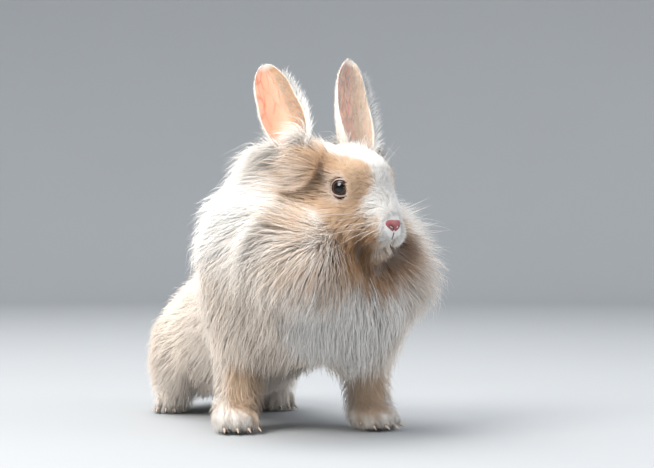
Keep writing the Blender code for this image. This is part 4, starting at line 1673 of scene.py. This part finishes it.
def whisker_rows():
    """Whiskers of the pads and brows, on both sides, as places on the skin and ways on the head."""
    rng = np.random.default_rng(WHISKER_SEED)
    rows = []
    for side in BOTH:
        for row in range(3):
            for column in range(4):
                root = HEAD.point(29 - 3.6 * column, side * (11 + 1.9 * column), -22 - 4.2 * row)
                up = 0.35 - 0.22 * row + 0.1 * rng.normal()
                way = HEAD.direction(0.34 - 0.15 * column + 0.08 * rng.normal(), side, up)
                rows.append(Whisker(root, way, HEAD.direction(-0.6, 0.1 * side, -0.8), rng.uniform(30, 52)))
        for brow in range(3):
            root = HEAD.point(6 - 4 * brow, side * 20, 19)
            way = HEAD.direction(0.5 - 0.3 * brow, side * 0.55, 1)
            rows.append(Whisker(root, way, HEAD.direction(-0.7, side * 0.6, -0.2), rng.uniform(24, 34)))
    return rows


def tubes(paths, aside, radius):
    """(points, faces) of closed round tubes along paths with as many points each."""
    count, rings, _ = paths.shape
    along = unit(np.gradient(paths, axis=1))
    one = unit(np.cross(along, aside))
    two = np.cross(along, one)
    turn = turns(TUBE_SIDES)[None, None, :, None]
    ring = paths[:, :, None] + radius[None, :, None, None] * (
        np.cos(turn) * one[:, :, None] + np.sin(turn) * two[:, :, None]
    )
    index = np.arange(count * rings * TUBE_SIDES).reshape(count, rings, TUBE_SIDES)
    beside = np.roll(index, -1, 2)
    quads = np.stack((index[:, :-1], beside[:, :-1], beside[:, 1:], index[:, 1:]), -1).reshape(-1, 4)
    caps = np.concatenate((index[:, 0, ::-1], index[:, -1]))
    return ring.reshape(-1, 3), [quads, caps]


def make_whiskers(material):
    """Whiskers: round hairs that bend by the square of their share and taper to the tip."""
    rows = whisker_rows()
    share = np.linspace(0, 1, WHISKER_RINGS)
    roots = on_skin(np.array([row.root for row in rows]), WHISKER_DEPTH)[:, None]
    ways = np.array([row.way for row in rows])[:, None]
    bends = np.array([row.bend for row in rows])[:, None]
    length = np.array([row.length for row in rows])[:, None, None]
    part = share[None, :, None]
    paths = roots + length * (ways * part + WHISKER_BEND * bends * part**2)
    points, faces = tubes(paths, bends + 0.01, WHISKER_RADIUS * (1 - 0.9 * share))
    return piece_from("whiskers", points, faces, material)


def make_mouth(material):
    """The lips' line: a thin dark cord down the cleft that parts to both corners, half sunk in the skin; its
    darkness is painted shade in the crease.
    """
    paths = np.stack([mouth_path(sign) for sign in BOTH])
    share = np.linspace(0, 1, MOUTH_RINGS)
    points, faces = tubes(paths, np.array((0.1, 0.2, 1.0)), MOUTH_RADIUS * (1 - 0.7 * share**4))
    return piece_from("mouth_line", points, faces, material)


# Stage

def make_stage(material):
    """A round floor that curves up into a wall all round: a line, a quarter turn and a line, spun about Z."""
    bend = np.linspace(0, np.pi / 2, 14)
    wall = FLOOR_REACH + WALL_BEND
    radius = np.concatenate((FLOOR_RINGS, FLOOR_REACH + WALL_BEND * np.sin(bend), (wall,)))[:, None]
    rise = np.concatenate(((0, 0), WALL_BEND * (1 - np.cos(bend)), (WALL_HEIGHT,)))[:, None]
    around = turns(STAGE_SIDES)
    rings = (radius * np.cos(around), radius * np.sin(around), rise + 0 * around)
    points = np.concatenate((np.stack(rings, -1).reshape(-1, 3), [(0, 0, 0)]))
    quads, fans = capped_rings(len(radius), STAGE_SIDES)
    stage = piece_from("stage", points, [quads, fans[:STAGE_SIDES]], material)


def add_light(lamp, strength):
    """A square soft light that faces the rabbit's shoulders and stays out of the picture."""
    data = bpy.data.lights.new(lamp.name, "AREA")
    data.size = lamp.size
    data.energy = lamp.power * strength
    data.color = lamp.colour
    light = bpy.data.objects.new(lamp.name, data)
    light.location = lamp.place
    light.rotation_euler = (Vector(LIGHT_TARGET) - light.location).to_track_quat("-Z", "Y").to_euler()
    light.visible_camera = False
    bpy.context.scene.collection.objects.link(light)


def make_camera():
    data = bpy.data.cameras.new("camera")
    data.lens = CAMERA_LENS
    data.sensor_width = 36
    camera = bpy.data.objects.new("camera", data)
    camera.location = CAMERA_SPOT * MM
    turn = Matrix.Rotation(math.radians(CAMERA_AZIMUTH), 4, "Z")
    tilt = Matrix.Rotation(math.radians(90 + CAMERA_TILT), 4, "X")
    camera.rotation_euler = (turn @ tilt).to_euler()
    bpy.context.scene.collection.objects.link(camera)
    bpy.context.scene.camera = camera


# The add-on's settings, operators and panel

def colour_property(name, description, default):
    return bpy.props.FloatVectorProperty(
        name=name, description=description, default=default, subtype="COLOR", min=0, max=1
    )


def share_property(name, description, default, low, high):
    return bpy.props.FloatProperty(
        name=name, description=description, default=default, min=low, max=high, subtype="FACTOR"
    )


class CoatSettings(bpy.types.PropertyGroup):
    """Colours of the coat and skin, and how full the coat is."""

    white: colour_property("White", "The blaze, mane and chest", WHITE)
    cream: colour_property("Cream", "The body", CREAM)
    tan: colour_property("Tan", "The patches round the eyes, on the cheeks and on the legs", TAN)
    # Brown also carries painted shade in the brow's crease and under the chin
    brown: colour_property("Brown", "The darkest hair, over the eye and in the beard", BROWN)
    tip: colour_property("Tip", "The pale tips of the cheeks' hair", TIP)
    skin_pink: colour_property("Skin pink", "Bare skin at the ears' edges", SKIN_PINK)
    # Painted glow: this pink is brightened as if light shone through the ear
    ear_glow_pink: colour_property("Ear pink", "The warm middle of the inner ear", EAR_GLOW_PINK)
    ear_vein: colour_property("Ear vein", "The veins of the inner ear", EAR_VEIN)
    nose_red: colour_property("Nose red", "The nose leather", NOSE_RED)
    fullness: share_property("Fullness", "Share of the full count of tufts", 1.0, 0.1, 1)
    variation: share_property("Variation", "How much tufts differ in lightness", 0.15, 0, 1)


class StageSettings(bpy.types.PropertyGroup):
    """The floor's colour and the strength of the light."""

    floor_colour: colour_property("Floor", "The floor and the wall round it", FLOOR_GREY)
    light: share_property("Light", "Strength of all the lights", 1.0, 0, 3)


def finished(piece):
    """Puts the piece on the rabbit's body."""
    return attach(piece, "root")


def fur():
    """The coat's one material, made when first asked for."""
    return bpy.data.materials.get("fur") or fur_material(bpy.context.scene.rabbit_coat)


class RABBIT_OT_skin(bpy.types.Operator):
    """Builds the skin under the coat, which replaces the solids of the flesh"""

    bl_idname = "rabbit.skin"
    bl_label = "Skin"

    def execute(self, context):
        points, faces = skin_surface()
        skin = piece_from("skin", points, faces, skin_material(context.scene.rabbit_coat))
        add_attribute(skin, "markings", "FLOAT_COLOR", markings(points))
        finished(skin)
        flesh = ["head", "neck", "trunk", "tail"]
        for part in ("foreleg", "forepaw", "thigh", "hind_foot"):
            flesh += [f"{part}_{side}" for side in SIDES]
        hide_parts(*flesh)
        return {"FINISHED"}


class RABBIT_OT_ears(bpy.types.Operator):
    """Builds both ears' skin"""

    bl_idname = "rabbit.ears"
    bl_label = "Ears"

    def execute(self, context):
        material = ear_material(context.scene.rabbit_coat)
        for side in SIDES:
            ear = make_ear(side, material)
            finished(ear)
            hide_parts("ear_" + side)
        return {"FINISHED"}


class RABBIT_OT_eyes(bpy.types.Operator):
    """Builds the eyeballs and the lids round them"""

    bl_idname = "rabbit.eyes"
    bl_label = "Eyes"

    def execute(self, context):
        gloss = eye_material()
        lid = lid_material()
        for side in SIDES:
            eye = make_eye(side, gloss)
            finished(eye)
            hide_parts("eye_" + side)
            finished(make_lids(side, lid))
        return {"FINISHED"}


class RABBIT_OT_nose(bpy.types.Operator):
    """Builds the nose leather and the lips' line"""

    bl_idname = "rabbit.nose"
    bl_label = "Nose"

    def execute(self, context):
        nose = make_nose(nose_material(context.scene.rabbit_coat))
        finished(nose)
        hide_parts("nose")
        finished(make_mouth(lip_material()))
        return {"FINISHED"}


class RABBIT_OT_whiskers(bpy.types.Operator):
    """Builds the whiskers of the muzzle and the brows"""

    bl_idname = "rabbit.whiskers"
    bl_label = "Whiskers"

    def execute(self, context):
        finished(make_whiskers(whisker_material()))
        return {"FINISHED"}


class RABBIT_OT_claws(bpy.types.Operator):
    """Gives the claws their horn"""

    bl_idname = "rabbit.claws"
    bl_label = "Claws"

    def execute(self, context):
        horn = claw_material()
        for name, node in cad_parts.items():
            if name.startswith("claw_"):
                node.data.materials.clear()
                node.data.materials.append(horn)
        return {"FINISHED"}


class RABBIT_OT_coat(bpy.types.Operator):
    """Builds the body's coat, region by region"""

    bl_idname = "rabbit.coat"
    bl_label = "Coat"

    def execute(self, context):
        fullness = context.scene.rabbit_coat.fullness
        points, faces = skin_surface()
        middle, weight = growing(points, faces)
        rows = region_rows()
        nearest = np.argmin(
            [np.min([np.linalg.norm(middle - seed, axis=1) for seed in row.seeds], 0) for row in rows], 0
        )
        for number, row in enumerate(rows):
            rng = np.random.default_rng(ROOT_SEED + number)
            own = np.where(nearest == number, weight, 0)
            roots = scattered(points, faces, int(row.count * fullness), own, rng)
            strands = make_strands(roots, row.rings, STRAND_SEED + number)
            chart = leg_chart(roots) if row.middle is None else ball_chart(roots, row.middle)
            finished(strand_piece(row.name, [strands], [chart], fur()))
        return {"FINISHED"}


class RABBIT_OT_ear_coat(bpy.types.Operator):
    """Builds the ears' hair"""

    bl_idname = "rabbit.ear_coat"
    bl_label = "Ear coat"

    def execute(self, context):
        rng = np.random.default_rng(EAR_SEED)
        groups, charts = [], []
        for number, side in enumerate(SIDES):
            for row in EAR_HAIR:
                if side not in row.sides:
                    continue
                strands, sheet = ear_strands(side, row, rng)
                left = 0.5 * number + MAP_MARGIN
                bottom = 0.5 * (row.out < 0) + MAP_MARGIN
                cell = (left, bottom, left + 0.48, bottom + 0.46)
                groups.append(strands)
                charts.append(in_cell(cell, (sheet[:, 0] + 1) / 2, np.clip(sheet[:, 1], 0, 1)))
        finished(strand_piece("coat_ears", groups, charts, fur()))
        return {"FINISHED"}


class RABBIT_OT_stage(bpy.types.Operator):
    """Builds the floor with its wall, the lights and the camera"""

    bl_idname = "rabbit.stage"
    bl_label = "Stage"

    def execute(self, context):
        settings = context.scene.rabbit_stage
        make_stage(floor_material(settings))
        for lamp in LIGHTS:
            add_light(lamp, settings.light)
        world = context.scene.world or bpy.data.worlds.new("studio")
        context.scene.world = world
        world.use_nodes = True
        background = world.node_tree.nodes["Background"]
        background.inputs["Color"].default_value = (*SKY, 1)
        background.inputs["Strength"].default_value = SKY_STRENGTH * settings.light
        context.scene.view_settings.view_transform = "Standard"
        make_camera()
        return {"FINISHED"}


class RABBIT_PT_panel(bpy.types.Panel):
    """The rabbit's settings and pieces, in the order in which they are built"""

    bl_idname = "RABBIT_PT_panel"
    bl_label = "Lionhead rabbit"
    bl_space_type = "VIEW_3D"
    bl_region_type = "UI"
    bl_category = "Rabbit"

    def draw(self, context):
        layout = self.layout
        for settings in (context.scene.rabbit_coat, context.scene.rabbit_stage):
            box = layout.box()
            for name in settings.__annotations__:
                box.prop(settings, name)
        for operator in OPERATORS:
            layout.operator(operator.bl_idname)


OPERATORS = (
    RABBIT_OT_skin,
    RABBIT_OT_ears,
    RABBIT_OT_eyes,
    RABBIT_OT_nose,
    RABBIT_OT_whiskers,
    RABBIT_OT_claws,
    RABBIT_OT_coat,
    RABBIT_OT_ear_coat,
    RABBIT_OT_stage,
)
CLASSES = (CoatSettings, StageSettings, *OPERATORS, RABBIT_PT_panel)


def register():
    for item in CLASSES:
        bpy.utils.register_class(item)
    bpy.types.Scene.rabbit_coat = bpy.props.PointerProperty(type=CoatSettings)
    bpy.types.Scene.rabbit_stage = bpy.props.PointerProperty(type=StageSettings)


def unregister():
    del bpy.types.Scene.rabbit_coat
    del bpy.types.Scene.rabbit_stage
    for item in reversed(CLASSES):
        bpy.utils.unregister_class(item)


def main():
    register()
    for operator in OPERATORS:
        group, name = operator.bl_idname.split(".")
        getattr(getattr(bpy.ops, group), name)()


if __name__ == "__main__":
    main()
